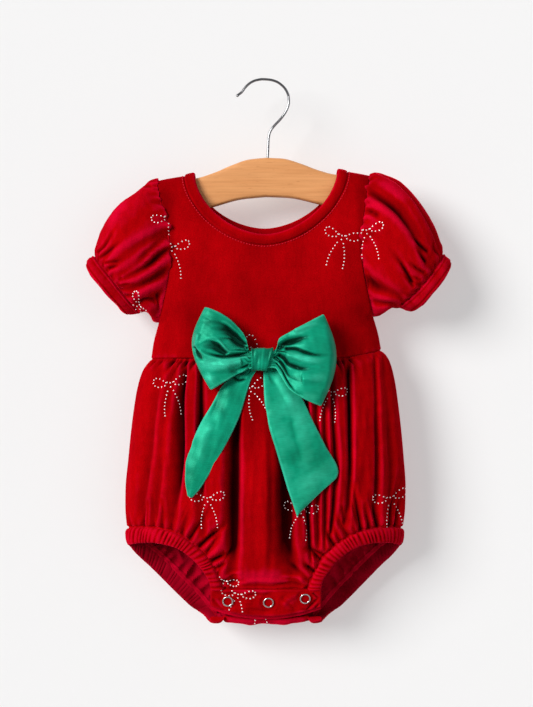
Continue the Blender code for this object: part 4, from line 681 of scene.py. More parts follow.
# ================================================================ forms
def place(points):
    """Hangs points of the garment's tables in the frame, as part.py's hang() does, in metres."""
    points = np.array(points, float)
    x, z = points[..., 0], points[..., 2]
    by_height = ease((z + 390.0) / 144.0)  # none at the legs, whole from the waist up
    by_reach = 1 - ease((np.abs(x) - 112.0) / 26.0)  # none at the cuffs
    corner = np.clip((x - 58.0) / 43.0, 0, 1.1) ** 2
    rise = WAIST_RISE * ease((-x - 20.0) / 60.0) + CORNER_LIFT * corner
    rise = rise * (1 - ease(np.abs(z - WAIST) / RISE_REACH))
    droop = SIDE_DROOP * np.clip(-x / 118.0, 0, 1) ** 2 * ease((-z - 320.0) / 110.0)
    points[..., 2] = z + TILT * x * by_height * by_reach + rise
    at_armhole = ease((-x - 70.0) / 18.0) * (1 - ease((-x - 93.0) / 24.0)) * ease((z + 128.0) / 26.0)
    points[..., 0] = x - BOWL_X - droop - ARMHOLE_SHIFT * at_armhole
    return points * MM


def armhole_depth(x, z):
    level = z + (ARMHOLE_TOP - shoulder_height(np.abs(x))) * ease((z + 150.0) / 40.0)
    share = np.abs((level - ARMHOLE_MIDDLE) / ARMHOLE_HALF)
    return ARMHOLE_DEPTH * np.sqrt(np.clip(1 - share**ARMHOLE_POWER, 0, 1))


def side_share(across):
    return np.clip(1 - np.clip(np.abs(across), 0, 1) ** ROUNDNESS, 0, 1) ** SIDE_CURVE


def rounded_armhole_depth(x, z):
    """The armhole's depth, with its foot rounded off away from the seam."""
    depth = armhole_depth(x, z)
    spread = np.mean([armhole_depth(x, z + shift) for shift in np.linspace(-9, 9, 13)], axis=0)
    away = ease((bodice_half_width(z) - np.abs(x)) / 8) * ease((-z - 160) / 20)
    return depth + away * (spread - depth)


def bodice_depth(side, x, z):
    below = shoulder_height(np.abs(x)) - z
    roll = np.sqrt(np.clip(1 - (1 - np.clip(below / SHOULDER_ROLL, 0, 1)) ** 2, 0, 1))
    share = side_share(x / bodice_half_width(z))
    return share * roll * bodice_depths[side](z) + (1 - share) * rounded_armhole_depth(x, z)


def panel_depth(side, x, z):
    return side_share(x / panel_half_width(z)) * panel_depths[side](z)


def bodice_point(side, x, below):
    z = shoulder_height(np.abs(x)) - below
    return np.stack([x, FACING[side] * (bodice_depth(side, x, z) + CLEARANCE), z], axis=-1)


def turn_point(x, run):
    """The back panel below the waist: down the back, then forward under the crotch."""
    straight = WAIST - TURN_TOP
    z = WAIST - np.minimum(run, straight)
    y = panel_depth("back", x, z) + CLEARANCE
    half_turn = math.pi * math.sqrt((TURN_REACH**2 + TURN_DROP**2) / 2)
    angle = np.clip((run - straight) / half_turn * math.pi, 0, math.pi)
    level = np.full_like(z, TURN_TOP)
    back = panel_depth("back", x, level)
    front = panel_depth("front", x, level) - PLACKET_CLOTH - SNAP_SPACE
    y = np.where(run > straight, (back - front) / 2 + (back + front) / 2 * np.cos(angle), y)
    lift = np.minimum(4.0 * (x / PLACKET_HALF) ** 2 * np.sin(angle) ** 2, 6.0)
    z = np.where(run > straight, TURN_TOP - TURN_DROP * np.sin(angle) + lift, z)
    return np.stack([x, y, z], axis=-1)


def panel_point(side, x, run):
    if side == "back":
        return turn_point(x, run)
    z = WAIST - run
    return np.stack([x, -(panel_depth("front", x, z) + CLEARANCE), z], axis=-1)


def facing(normals, hint):
    """The normals, turned so that on average they point along the hint."""
    return normals if (normals * np.asarray(hint)).sum() > 0 else -normals


def unit(vectors):
    return vectors / np.maximum(np.linalg.norm(vectors, axis=-1, keepdims=True), 1e-9)


def form_normals(at, across, down, hint):
    """Unit normals of the smooth form at(across, down), by small steps both ways."""
    step = 0.2
    tangent_across = at(across + step, down) - at(across - step, down)
    tangent_down = at(across, down + step) - at(across, down - step)
    return facing(unit(np.cross(tangent_across, tangent_down)), hint)


def grid_normals(grid, hint, wrap=False):
    across = np.gradient(grid, axis=1)
    if wrap:
        across = (np.roll(grid, -1, axis=1) - np.roll(grid, 1, axis=1)) / 2
    return facing(unit(np.cross(across, np.gradient(grid, axis=0))), hint)


def bodice_form(side, x, below):
    """(points of the form, their normals) of a bodice side."""
    hint = (0, FACING[side], 0)
    normals = form_normals(lambda a, b: bodice_point(side, a, b), x, below, hint)
    return bodice_point(side, x, below), normals


def panel_form(side, x, run):
    """(points of the form, their normals) of a panel."""
    hint = (0, -1, 0) if side == "front" else (0, 1, -1)
    normals = form_normals(lambda a, b: panel_point(side, a, b), x, run, hint)
    return panel_point(side, x, run), normals


# ================================================================ meshes
def wall_faces(rows, columns, wrap=True):
    """(squares of the outer face, inner face and rims) of a wall between two grids of points."""
    span = columns if wrap else columns - 1
    count = rows * columns

    def ribbon(a, b, across):
        return np.stack([a, b, b + across, a + across], axis=-1).reshape(-1, 4)

    i, j = np.meshgrid(np.arange(rows - 1) * columns, np.arange(span), indexing="ij")
    outer = ribbon(i + j, i + (j + 1) % columns, columns)
    j, k = np.arange(span), (np.arange(span) + 1) % columns
    last = (rows - 1) * columns
    rims = [ribbon(k, j, count), ribbon(j + last, k + last, count)]
    if not wrap:
        i = np.arange(rows - 1) * columns
        rims.append(ribbon(i, i + columns, count))
        rims.append(ribbon(i + 2 * columns - 1, i + columns - 1, count))
    return outer, outer[:, ::-1] + count, np.concatenate(rims)


def cap(start, sides):
    """Squares that close a ring of points."""
    k = np.arange(sides // 2 - 1)[:, None]
    return start + np.concatenate([k, k + 1, sides - 2 - k, sides - 1 - k], axis=1)


def new_mesh(name, points, faces, materials, slots=None, sharp=60.0):
    """An object from points in metres and four-cornered faces, quickly."""
    mesh = bpy.data.meshes.new(name)
    mesh.vertices.add(len(points))
    mesh.vertices.foreach_set("co", np.ascontiguousarray(points, np.float32).ravel())
    mesh.loops.add(faces.size)
    mesh.loops.foreach_set("vertex_index", np.ascontiguousarray(faces, np.int32).ravel())
    mesh.polygons.add(len(faces))
    mesh.polygons.foreach_set("loop_start", np.arange(0, faces.size, 4, dtype=np.int32))
    for material in materials:
        mesh.materials.append(material)
    if slots is not None:
        mesh.polygons.foreach_set("material_index", np.ascontiguousarray(slots, np.int32))
    mesh.update(calc_edges=True)
    mesh.validate()
    mesh.shade_smooth()
    mesh.set_sharp_from_angle(angle=math.radians(sharp))
    piece = bpy.data.objects.new(name, mesh)
    bpy.context.scene.collection.objects.link(piece)
    return piece


def cloth_wall(name, outer, inner, materials, lit, wrap=False, inside=0, inner_lit=0.8, hand=RIGHT):
    """A closed wall of cloth between two grids in millimetres, hung in the frame.

    lit, painted shade from 0 in the depth of a fold to 1 on its crown, with painted highlight above that,
    is kept as an attribute for the pile's colour.
    The inner faces take the material numbered inside. A LEFT hand mirrors the grids.
    """
    rows, columns = outer.shape[:2]
    outside, inner_faces, rims = wall_faces(rows, columns, wrap)
    mirror = np.array([hand, 1.0, 1.0])
    points = np.concatenate([place(grid * mirror).reshape(-1, 3) for grid in (outer, inner)])
    corner = outside[len(outside) // 2]
    across, down = points[corner[1]] - points[corner[0]], points[corner[3]] - points[corner[0]]
    out = points[corner[0]] - points[corner[0] + rows * columns]
    faces = np.concatenate([outside, inner_faces, rims])
    if np.cross(across, down) @ out < 0:
        faces = faces[:, ::-1]
    slots = np.zeros(len(faces), int)
    slots[len(outside) : len(outside) + len(inner_faces)] = inside
    piece = new_mesh(name, points, faces, materials, slots)
    values = np.concatenate([lit.ravel(), np.broadcast_to(inner_lit, lit.shape).ravel()])
    attribute = piece.data.attributes.new("lit", "FLOAT", "POINT")
    attribute.data.foreach_set("value", values.astype(np.float32))
    return piece


def folded(form, normals, cut, wall, wrap=False, blur=2):
    """(outer grid, inner grid) of cloth on a form, with the cut taken into it."""
    outer = form - normals * cut[..., None]
    under = np.maximum(cut, blurred(cut, blur, wrap)) + wall
    return outer, form - normals * under[..., None]


def keep_side(grid, side):
    """Keeps a front or back grid on its own side of the side and shoulder seams."""
    keep = np.minimum if side == "front" else np.maximum
    grid[..., 1] = keep(grid[..., 1], FACING[side] * CLEARANCE)
    return grid


def crown_light(cut, scale, wrap=False, glow=0.30):
    """Painted light of the pile: 1 on crowns, painted shade falling into the folds, and a painted
    highlight on crests by glow.
    """
    # painted shade where the cloth is sunk below its surroundings, painted highlight on its crests
    sunk = np.clip(cut - blurred(cut, 24, wrap), 0, None)
    crest = np.clip(blurred(cut, 7, wrap) - cut, 0, 0.8)
    return np.clip(0.76 - 0.48 * ease(cut / scale) - 0.13 * sunk + glow * crest, 0.0, 1)


def finish(piece, node, slot, *sheet_facts, **sheet_words):
    """Ties a piece to the root body and hides the solid that it replaces; a sheet's flat size and how it
    hangs, in sheet_facts and sheet_words, are not used.
    """
    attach(piece, "root")
    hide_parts(node)
    return piece


def sewn(slot, node, walls, materials, lit, *sheet_facts, shape=None, **sheet_words):
    """A finished sheet of cloth between two walls; shape holds more words for cloth_wall."""
    piece = cloth_wall(slot + "_" + node, *walls, materials, np.clip(lit, 0, 1), **(shape or {}))
    return finish(piece, node, slot, *sheet_facts, **sheet_words)


# ================================================================ materials
class Look:
    """A new material, with shorthands that add its nodes and links."""

    def __init__(self, name):
        self.material = bpy.data.materials.new(name)
        self.material.use_nodes = True
        self.tree = self.material.node_tree
        self.shader = self.tree.nodes["Principled BSDF"]

    def add(self, kind, **values):
        node = self.tree.nodes.new(kind)
        for key, value in values.items():
            if key in node.inputs:
                node.inputs[key].default_value = value
            else:
                setattr(node, key, value)
        return node

    def link(self, source, output, target, socket):
        self.tree.links.new(source.outputs[output], target.inputs[socket])

    def shade(self, **values):
        for key, value in values.items():
            self.shader.inputs[key.replace("_", " ")].default_value = value

    def on_piece(self, texture, stretch=(1, 1, 1)):
        """Lays a texture on the piece's own coordinates, in metres."""
        coords = self.add("ShaderNodeTexCoord")
        mapping = self.add("ShaderNodeMapping", Scale=stretch)
        self.link(coords, "Object", mapping, "Vector")
        self.link(mapping, "Vector", texture, "Vector")
        return texture

    def noise(self, scale, detail, stretch=(1, 1, 1), roughness=0.5):
        texture = self.add("ShaderNodeTexNoise", Scale=scale, Detail=detail, Roughness=roughness)
        return self.on_piece(texture, stretch)

    def ramp(self, source, dark, light, low=0.3, high=0.7, palest=None):
        """A colour or a grey between two, as the source goes from low to high, and past it."""
        ramp = self.add("ShaderNodeValToRGB")
        stops = ramp.color_ramp.elements
        for stop, position, tone in ((stops[0], low, dark), (stops[1], high, light)):
            stop.position = position
            stop.color = (*(tone if isinstance(tone, tuple) else (tone,) * 3), 1)
        if palest:
            stops.new(1.0).color = (*palest, 1)
        self.link(source, "Fac", ramp, "Fac")
        return ramp

    # A ramp on the lit attribute, which holds painted shade and highlight.
    def lit_ramp(self, *tones, **words):
        return self.ramp(self.add("ShaderNodeAttribute", attribute_name="lit"), *tones, **words)

    def base(self, first, *others):
        """Multiplies the tones into the base colour."""
        tint = first.outputs["Color"]
        for other in others:
            mix = self.add("ShaderNodeMix", data_type="RGBA", blend_type="MULTIPLY")
            mix.inputs["Factor"].default_value = 1.0
            self.tree.links.new(tint, mix.inputs[6])
            self.tree.links.new(other.outputs["Color"], mix.inputs[7])
            tint = mix.outputs[2]
        self.tree.links.new(tint, self.shader.inputs["Base Color"])

    def bumps(self, *rows):
        """Bumps from rows of (source, strength, distance), each on the one before."""
        before = None
        for source, strength, distance in rows:
            bump = self.add("ShaderNodeBump", Strength=strength, Distance=distance)
            self.link(source, "Fac", bump, "Height")
            if before:
                self.link(before, "Normal", bump, "Normal")
            before = bump
        self.link(before, "Normal", self.shader, "Normal")


def velvet_material():
    """Stretch velvet: a deep red pile with a pink sheen, clouded where the nap is brushed, with painted
    shade in its folds and a painted highlight on sharp crowns from the lit attribute.
    """
    look = Look("red_velvet")
    painted_crest_highlight = (0.56, 0.0014, 0.020)  # painted highlight on a sharp crown
    pile_and_painted_shade = look.lit_ramp((0.026, 0.0, 0.0004), (0.390, 0.0004, 0.0022), 0.06, 0.78, painted_crest_highlight)
    nap = look.noise(46.0, 3.0, (1.0, 1.0, 0.55))
    streak = look.noise(420.0, 2.0, (1.0, 1.0, 0.25))
    grain = look.noise(1500.0, 1.0)
    clouds = look.ramp(nap, 0.84, 1.08, 0.34, 0.66)
    look.base(pile_and_painted_shade, clouds, look.ramp(streak, 0.93, 1.05), look.ramp(grain, 0.82, 1.14))
    look.bumps((grain, 0.35, 0.0004), (nap, 0.25, 0.0012))
    look.shade(Roughness=0.9, Specular_IOR_Level=0.0)
    look.shade(Sheen_Weight=1.0, Sheen_Roughness=0.3, Sheen_Tint=(1.0, 0.020, 0.075, 1.0))
    return look.material


def reverse_material(name, share):
    """The knitted back of the velvet, seen inside the legs, neck and cuffs."""
    look = Look(name)
    dark, light = (0.28 * share, 0.0006, 0.008 * share), (0.56 * share, 0.0016, 0.022 * share)
    cloud = look.ramp(look.noise(60.0, 3.0), dark, light)
    knit = look.add("ShaderNodeTexWave", Scale=320.0, Distortion=0.6, bands_direction="X")
    rib = look.ramp(look.on_piece(knit), 0.86, 1.06, 0.2, 0.8)
    # painted shade and light from the lit attribute, multiplied into the knit's colour
    look.base(cloud, rib, look.lit_ramp(0.70, 1.30, 0.6, 1.0))
    look.bumps((knit, 0.2, 0.0003))
    look.shade(Roughness=0.8, Specular_IOR_Level=0.0)
    look.shade(Sheen_Weight=0.5, Sheen_Roughness=0.4, Sheen_Tint=(1.0, 0.02, 0.09, 1.0))
    return look.material


def satin_material():
    """Green satin ribbon: a close warp with soft broad lights and small puckers, with painted shade in
    its folds and painted highlights on its crowns and hems from the lit attribute.
    """
    look = Look("green_satin")
    # painted shade in the folds up to a painted highlight on crowns and hems, by the lit attribute
    fold = look.lit_ramp((0.0003, 0.020, 0.010), (0.004, 0.30, 0.165), 0.06, 0.66, (0.035, 0.50, 0.31))
    cloud = look.ramp(look.noise(34.0, 3.0), (0.74, 0.74, 0.72), (1.04, 1.04, 1.08), 0.3, 0.72)
    warp = look.noise(900.0, 1.0, (0.18, 1.0, 1.6))
    pucker = look.noise(120.0, 3.0, (1.0, 1.0, 0.7))
    look.base(fold, cloud, look.ramp(warp, 0.9, 1.08))
    look.bumps((pucker, 0.22, 0.0016), (warp, 0.25, 0.0002))
    look.shade(Roughness=0.4, Specular_IOR_Level=0.5, Specular_Tint=(0.10, 1.0, 0.62, 1.0))
    look.shade(Sheen_Weight=0.10, Sheen_Roughness=0.4, Sheen_Tint=(0.25, 1.0, 0.75, 1.0))
    return look.material


def wood_material():
    """Pale lacquered beech: long grain along the bar with short dark flecks."""
    look = Look("pale_beech")
    grain = look.noise(30.0, 5.0, (0.35, 1.0, 5.0), 0.6)
    fine = look.noise(260.0, 3.0, (0.12, 1.0, 3.0))
    fleck = look.noise(620.0, 1.0, (0.22, 1.0, 2.2))
    look.base(
        look.ramp(grain, (0.675, 0.288, 0.098), (0.745, 0.338, 0.125), 0.32, 0.68),
        look.ramp(fine, (0.94, 0.925, 0.90), 1.04, 0.35, 0.6),
        look.ramp(fleck, 1.0, (0.82, 0.76, 0.68), 0.66, 0.76),
    )
    look.bumps((fine, 0.08, 0.0004))
    look.shade(Roughness=0.42, Specular_IOR_Level=0.4, Coat_Weight=0.18, Coat_Roughness=0.3)
    return look.material


def metal_material(name, colour, low, high, metallic=1.0):
    """Plated metal with faint handling marks in its polish."""
    look = Look(name)
    marks = look.noise(380.0, 3.0)
    look.base(look.ramp(marks, tuple(c * 0.86 for c in colour), colour, 0.3, 0.6))
    spread = look.add("ShaderNodeMapRange")
    spread.inputs["To Min"].default_value = low
    spread.inputs["To Max"].default_value = high
    look.link(marks, "Fac", spread, "Value")
    look.link(spread, "Result", look.shader, "Roughness")
    look.shade(Metallic=metallic)
    return look.material


def thread_material():
    look = Look("red_thread")
    look.base(look.ramp(look.noise(2400.0, 1.0), (0.45, 0.006, 0.015), (0.80, 0.022, 0.048)))
    look.shade(Roughness=0.7, Specular_IOR_Level=0.05)
    return look.material


# ================================================================ bodice and neck band
NECK_COLUMNS = 116  # from the shoulder to the middle of the neckline
BODICE_ROWS = 54
BODICE_STEP = 1.6  # about how far apart its columns are at the armholes


def neck_curve(neck, offset=0.0):
    """(x, drop) down one half of a neckline, from the shoulder to its middle."""
    half_width, drop = neck.half_width + offset, neck.drop + offset
    turn = math.pi / 2 * np.linspace(0, 1, NECK_COLUMNS) ** 1.3
    drops = drop * np.sin(turn) ** (2 / neck.fullness)
    xs = half_width * np.clip(1 - (drops / drop) ** neck.fullness, 0, 1) ** (1 / neck.fullness)
    return np.stack([xs, drops], axis=1)


def bodice_outline():
    """(x, drop) along the armhole, the side and the waist to its middle."""
    armhole_steps, side_steps = round(NECK_COLUMNS * 0.46), round(NECK_COLUMNS * 0.14)
    turns = np.radians(90 - 180 * np.linspace(0, 1, armhole_steps) ** 1.1)
    side = np.linspace(ARMHOLE_FOOT, WAIST, side_steps + 1)[1:]
    heights = np.concatenate([ARMHOLE_MIDDLE + ARMHOLE_HALF * np.sin(turns), side])
    xs = bodice_half_width(heights)
    waist_steps = NECK_COLUMNS - len(heights)
    part = np.arange(1, waist_steps + 1) / waist_steps
    xs = np.concatenate([xs, xs[-1] * (1 - part**1.3)])
    heights = np.concatenate([heights, np.full(waist_steps, WAIST)])
    return np.stack([xs, shoulder_height(xs) - heights], axis=1)


def mirrored(half):
    """Rows of (x, drop) from the right shoulder to the middle, continued to the left one."""
    return np.concatenate([half, half[..., -2::-1, :] * np.array([-1.0, 1.0])], axis=-2)


def bodice_panel(side, cloth, flat, area):
    neck, outline = neck_curve(BAND_SEAM[side]), bodice_outline()
    v = np.linspace(0, 1, BODICE_ROWS)[:, None, None]
    share = 0.7 * v + 0.3 * ease(v)
    flat_grid = mirrored(neck * (1 - share) + outline * share)
    x, below = flat_grid[..., 0], flat_grid[..., 1]
    form, normals = bodice_form(side, x, below)
    z = form[..., 2]
    from_neck = np.linalg.norm(flat_grid - mirrored(neck[None]), axis=-1)
    from_rim = np.linalg.norm(flat_grid - mirrored(outline[None]), axis=-1)
    seed = SEEDS["bodice_" + side]
    cut = 0.24 * ripple(x, z, 46.0, seed) + 0.06 * ripple(x, z, 15.0, seed + 2)
    cut += gathers(x + WAIST_LENGTH / 2, z - WAIST, WAIST_LENGTH, Gather(8.0, 11, 0.7), seed + 4)
    around = np.broadcast_to(np.arange(x.shape[1]) * BODICE_STEP, x.shape)
    length = BODICE_STEP * x.shape[1]
    upper = ease((z + 215) / 20)  # above the armholes' feet
    cut += gathers(around, from_rim, length, Gather(7.0, 9, 0.55), seed + 5) * upper
    cut += gathers(around, from_neck, length, Gather(9.0, 7, 0.35), seed + 6)
    cut *= ease(np.minimum(below, 30) / 12)
    cut += tuck(from_rim) * ease(below / 6) + 0.5 * tuck(from_neck)
    outer, inner = folded(form, normals, cut, VELVET)
    outer, inner = keep_side(outer, side), keep_side(inner, side)
    inner[..., 2] = np.maximum(inner[..., 2], WAIST)
    # painted shade in the folds and painted highlight on crests, varied at random
    lit = crown_light(cut, 8.0) - 0.03 + 0.03 * ripple(x, z, 80.0, seed + 8)
    # painted shade beside the bow's loops and towards the seams
    bow_shade = bell(np.abs(x - 6) - 71, 11) * ease((-z - 165) / 45) * (side == "front")
    lit = lit - 0.26 * (1 - ease(from_rim / 22)) * upper - 0.10 * (1 - ease(from_neck / 9))
    lit = lit - 0.16 * bow_shade
    words = dict(rests_on=["hanger_wood"], area=area, shape=dict(inside=1))
    return sewn("velvet", "bodice_" + side, (outer, inner), cloth, lit, flat, "hung", **words)


BAND_ROWS = 13
# across the band: share from the seam to the open edge, how far each face is off the form
BAND_SECTION = np.array(
    [(0, -0.5, -1.8), (0.08, 0.7, -1.9), (0.22, 1.3, -1.8), (0.5, 1.5, -1.7)]
    + [(0.78, 1.5, -1.7), (0.93, 0.9, -1.4), (1, -0.2, -0.9)]
)


def section_rows(section, count):
    """The section's rows, with more between them on a smooth line."""
    path, _ = smooth_path(section)
    return path(np.linspace(0, 1, count))


def neck_rings(shares):
    """Grid round the whole neck, a ring for each share from the band's seam to its open edge."""
    rings = []
    for share in shares:
        loop = []
        for side in ("front", "back"):
            curves = [neck_curve(table[side]) for table in (BAND_SEAM, NECK_EDGE)]
            whole = mirrored((curves[0] * (1 - share) + curves[1] * share)[None])[0]
            points = bodice_point(side, whole[:, 0], whole[:, 1])
            points[[0, -1], 1] = 0.0
            loop.append((points if side == "front" else points[::-1])[:-1])
        rings.append(np.concatenate(loop))
    return np.array(rings)


def neck_band(cloth):
    section = section_rows(BAND_SECTION, BAND_ROWS)
    share, face, back = section[:, :1], section[:, 1:2], section[:, 2:3, None]
    form = neck_rings(section[:, 0])
    hint = (form - form.mean(axis=(0, 1))) * np.array([0, 1, 0])
    normals = grid_normals(form, hint, wrap=True)
    along = np.arange(form.shape[1])[None, :] * 1.0
    seed = SEEDS["neck_band"]
    uneven = 0.14 * ripple(along, 0 * along, 13.0, seed) + 0.12 * ripple(along, share * 9, 6.0, seed + 1)
    rise = face - uneven * np.sin(math.pi * np.clip(share, 0, 1))
    walls = form + normals * rise[..., None], form + normals * back
    # painted shade along the band, painted highlights near its open edge and at its seam
    lit = 0.70 - 0.22 * bell(share - 0.30, 0.12) + 0.06 * (rise - 1.0)
    lit = lit + 0.24 * bell(share - 0.90, 0.07) + 0.12 * (1 - ease(share / 0.14))
    words = dict(rests_on=["velvet_bodice_front"], shape=dict(wrap=True))
    return sewn("velvet", "neck_band", walls, cloth, lit, (0.40, 0.0115), "stretched", **words)


# ================================================================ gathered skirt and leg casings
PANEL_COLUMNS, PANEL_ROWS = {"front": 330, "back": 236}, 124


def leg_seam(side):
    """Share along a panel's lower edge, 0 in the middle to 1 at the side, to (x, height or run)."""
    rows = LEG_SEAM[side]
    path, length = smooth_path(rows)
    corner = rows[-1].x
    corner_share = corner / (corner + length)

    def at(share):
        size = np.abs(share)
        on_leg = path(np.clip((1 - size) / (1 - corner_share), 0, 1))
        middle_x = corner * np.clip(size / corner_share, 0, 1)
        middle = np.stack([middle_x, np.full_like(size, rows[-1].height)], axis=-1)
        point = np.where((size > corner_share)[..., None], on_leg, middle)
        return point * np.stack([np.where(share < 0, -1.0, 1.0), np.ones_like(size)], axis=-1)

    return at, corner_share


def as_run(side, line):
    """A leg line's (x, height or run) points as (x, run below the waist)."""
    line = np.array(line, float)
    if side == "front":
        line[..., 1] = WAIST - line[..., 1]
    return line


WAIST_HALF = 104  # of the gathered edge
WAIST_LAP, LEG_LAP = 2.4, 0.16  # how far a panel runs on under the bodice, in mm, and the casing
# Wide gathers and the narrow ones between them.
AT_LEG = Gather(8.8, 38, 6.6, 0.46), Gather(4.2, 10, 1.8)
AT_WAIST = Gather(7.6, 22, 5.6, 0.46), Gather(3.8, 8, 1.6)
AT_CUFF = Gather(6.2, 14, 3.0), Gather(3.4, 7, 1.8)
AT_CAP = Gather(7.0, 9, 2.4), Gather(3.6, 5, 1.2)


def twice_gathered(along, away, length, both, seed, wide_share=1, narrow_share=1):
    """Wide gathers with narrow ones between them."""
    wide, narrow = (gathers(along, away, length, both[k], seed + k) for k in range(2))
    return np.maximum(wide * wide_share, narrow * narrow_share)


def long_folds(side, x, z, run, from_foot, folds):
    """How deep the long folds cut, softer by the waist and by the legs."""
    cut = -fold_heights(x, z, folds)
    cut = np.where(cut > 0, 1.35 * cut, 1.2 * cut)
    if side == "front":
        cut *= 1 - 0.30 * ease((x - 36) / 14)  # shallower on the right
    cut *= 0.25 + 0.75 * ease(run / 9)
    if side == "front":
        return cut * (0.35 + 0.65 * ease(from_foot / 16))
    return cut * ease((from_foot - 4) / 30)


def panel_light(side, x, run, from_foot, middle):
    """Painted light and shade at some places of a panel: a painted shadow under the bow, painted shade in
    a hollow, a painted highlight on a swell above the placket, and on the back a painted highlight at its
    foot by the middle.
    """
    if side == "back":
        return 0.22 * (1 - ease((from_foot - 8) / 20)) * (1 - middle)
    bow_shadow = (1 - ease((run - 20) / 75)) * bell(x + 7, 18)
    hollow_shade = bell(x - 11, 11) * ease((run - 40) / 30) * ease((from_foot - 16) / 24)
    swell = bell(from_foot - 13, 6) * bell(x + 2, 24)
    return -0.34 * bow_shadow - 0.30 * hollow_shade + 0.28 * swell


def gathered_panel(side, wrinkles, folds, cloth, flat, area):
    seed = SEEDS["panel_" + side]
    foot_at, corner_share = leg_seam(side)
    u = np.linspace(-1, 1, PANEL_COLUMNS[side])
    share = 0.6 * u + 0.4 * np.sin(u * math.pi / 2)
    feet = as_run(side, foot_at(share))
    edge_path, _ = smooth_path(as_run(side, LEG_EDGE[side]))
    edges = edge_path(np.clip((1 - np.abs(share)) / (1 - corner_share), 0, 1))
    edges[:, 0] *= np.sign(share)
    on_leg = ease((np.abs(share) - corner_share) / 0.02)[:, None]
    feet = feet + (edges - feet) * LEG_LAP * on_leg + np.array([0.0, 1.2]) * (1 - on_leg)
    foot_x, foot_run = feet[:, 0], feet[:, 1]
    if side == "front":
        foot_run = np.minimum(foot_run, WAIST - PLACKET_TOP + 1.2)
    v = np.linspace(0, 1, PANEL_ROWS)
    down = (0.42 * v + 0.58 * ease(v))[:, None]

    def half_width(run):
        return panel_half_width(np.maximum(WAIST - run, TURN_TOP))

    run = down * (foot_run + WAIST_LAP) - WAIST_LAP
    foot_across = foot_x / half_width(foot_run)
    across = share + (foot_across - share) * ease(down)
    x, z = across * half_width(run), WAIST - run
    form, normals = panel_form(side, x, run)

    seam = as_run(side, LEG_SEAM[side]) * np.array([1.0, -1.0]) + [0, WAIST]
    seam_path, seam_length = smooth_path(seam)
    away, bank, along = nearest(np.abs(x), z, seam_path(np.linspace(0, 1, 48)))
    off_middle = np.where(np.abs(x) < LEG_SEAM[side][-1].x, foot_run - run, away)
    from_foot = np.minimum(away, off_middle)
    from_side = (1 - np.abs(across)) * half_width(run)

    folded_cut = long_folds(side, x, z, run, from_foot, folds)
    wrinkled = crease_field(x, z, wrinkles)
    own_along = np.where(x > 0, along, seam_length * 2 - along)
    at_leg = twice_gathered(own_along, away, 2 * seam_length, AT_LEG, seed)
    on_waist = across * WAIST_HALF + WAIST_LENGTH / 2
    at_waist = twice_gathered(on_waist, run, WAIST_LENGTH, AT_WAIST, seed + 2)
    if side == "front":
        at_waist *= 1 - 0.85 * ease((x - 74) / 10)  # drawn smooth towards the side on this half
    middle = ease((np.abs(x) - 30) / 8)  # none by the plackets
    deep = np.clip(folded_cut, 0, None) + np.clip(wrinkled, 0, None)
    cut = np.cbrt(deep**3 + (at_leg * middle) ** 3 + at_waist**3)
    cut += np.minimum(folded_cut, 0) + np.minimum(wrinkled, 0)
    cut += 0.45 * ripple(x, z * 0.45, 26.0, seed + 4) + 0.16 * ripple(x, z * 0.6, 9.0, seed + 5)
    # the cloth swells just past its gathered seams
    cut -= 1.3 * bell(run - 6, 5) + 1.2 * middle * bell(away - 7, 6)
    cut *= ease(from_side / 7)
    # painted shade in the folds, painted highlight on crests, and the panel's painted light and shade
    lit = crown_light(cut, 8.0, glow=0.20) + panel_light(side, x, run, from_foot, middle)
    from_casing = np.where(bank == bank[:1], away, 0.0)
    cut = np.minimum(cut, 0.7 + 0.75 * from_casing + 6.0 * (1 - middle))
    cut += tuck(run + 0.6, 1.8) + tuck(from_foot - 1.6, 1.6) + 0.6 * tuck(from_side)
    cut += 1.6 * ease(-run / 1.5)
    outer, inner = folded(form, normals, cut, VELVET)
    upright = np.abs(x) > PLACKET_HALF + 13
    inner[upright] = keep_side(inner[upright], side)
    outer[upright] = keep_side(outer[upright], side)
    # painted light: the inside of the right leg is painted lighter, as if the window's light reached it
    shape = dict(inside=1, inner_lit=0.74 + 0.40 * ease((x - 40) / 25))
    words = dict(rests_on=["velvet_bodice_" + side], area=area, shape=shape)
    return sewn("velvet", "panel_" + side, (outer, inner), cloth, lit, flat, "gathered", **words)


CASING_COLUMNS = {"front": 270, "back": 350}
CASING_SECTION = np.array(
    [(0, -0.9, -2.2), (0.07, 0.7, -2.5), (0.25, 1.9, -2.7), (0.55, 2.2, -2.8)]
    + [(0.8, 1.9, -2.6), (0.94, 0.9, -2), (1, -0.5, -1.1)]
)
CASING_ROWS = 15
RIB_SPACING, RIB_DEPTH = 3.7, 1.6


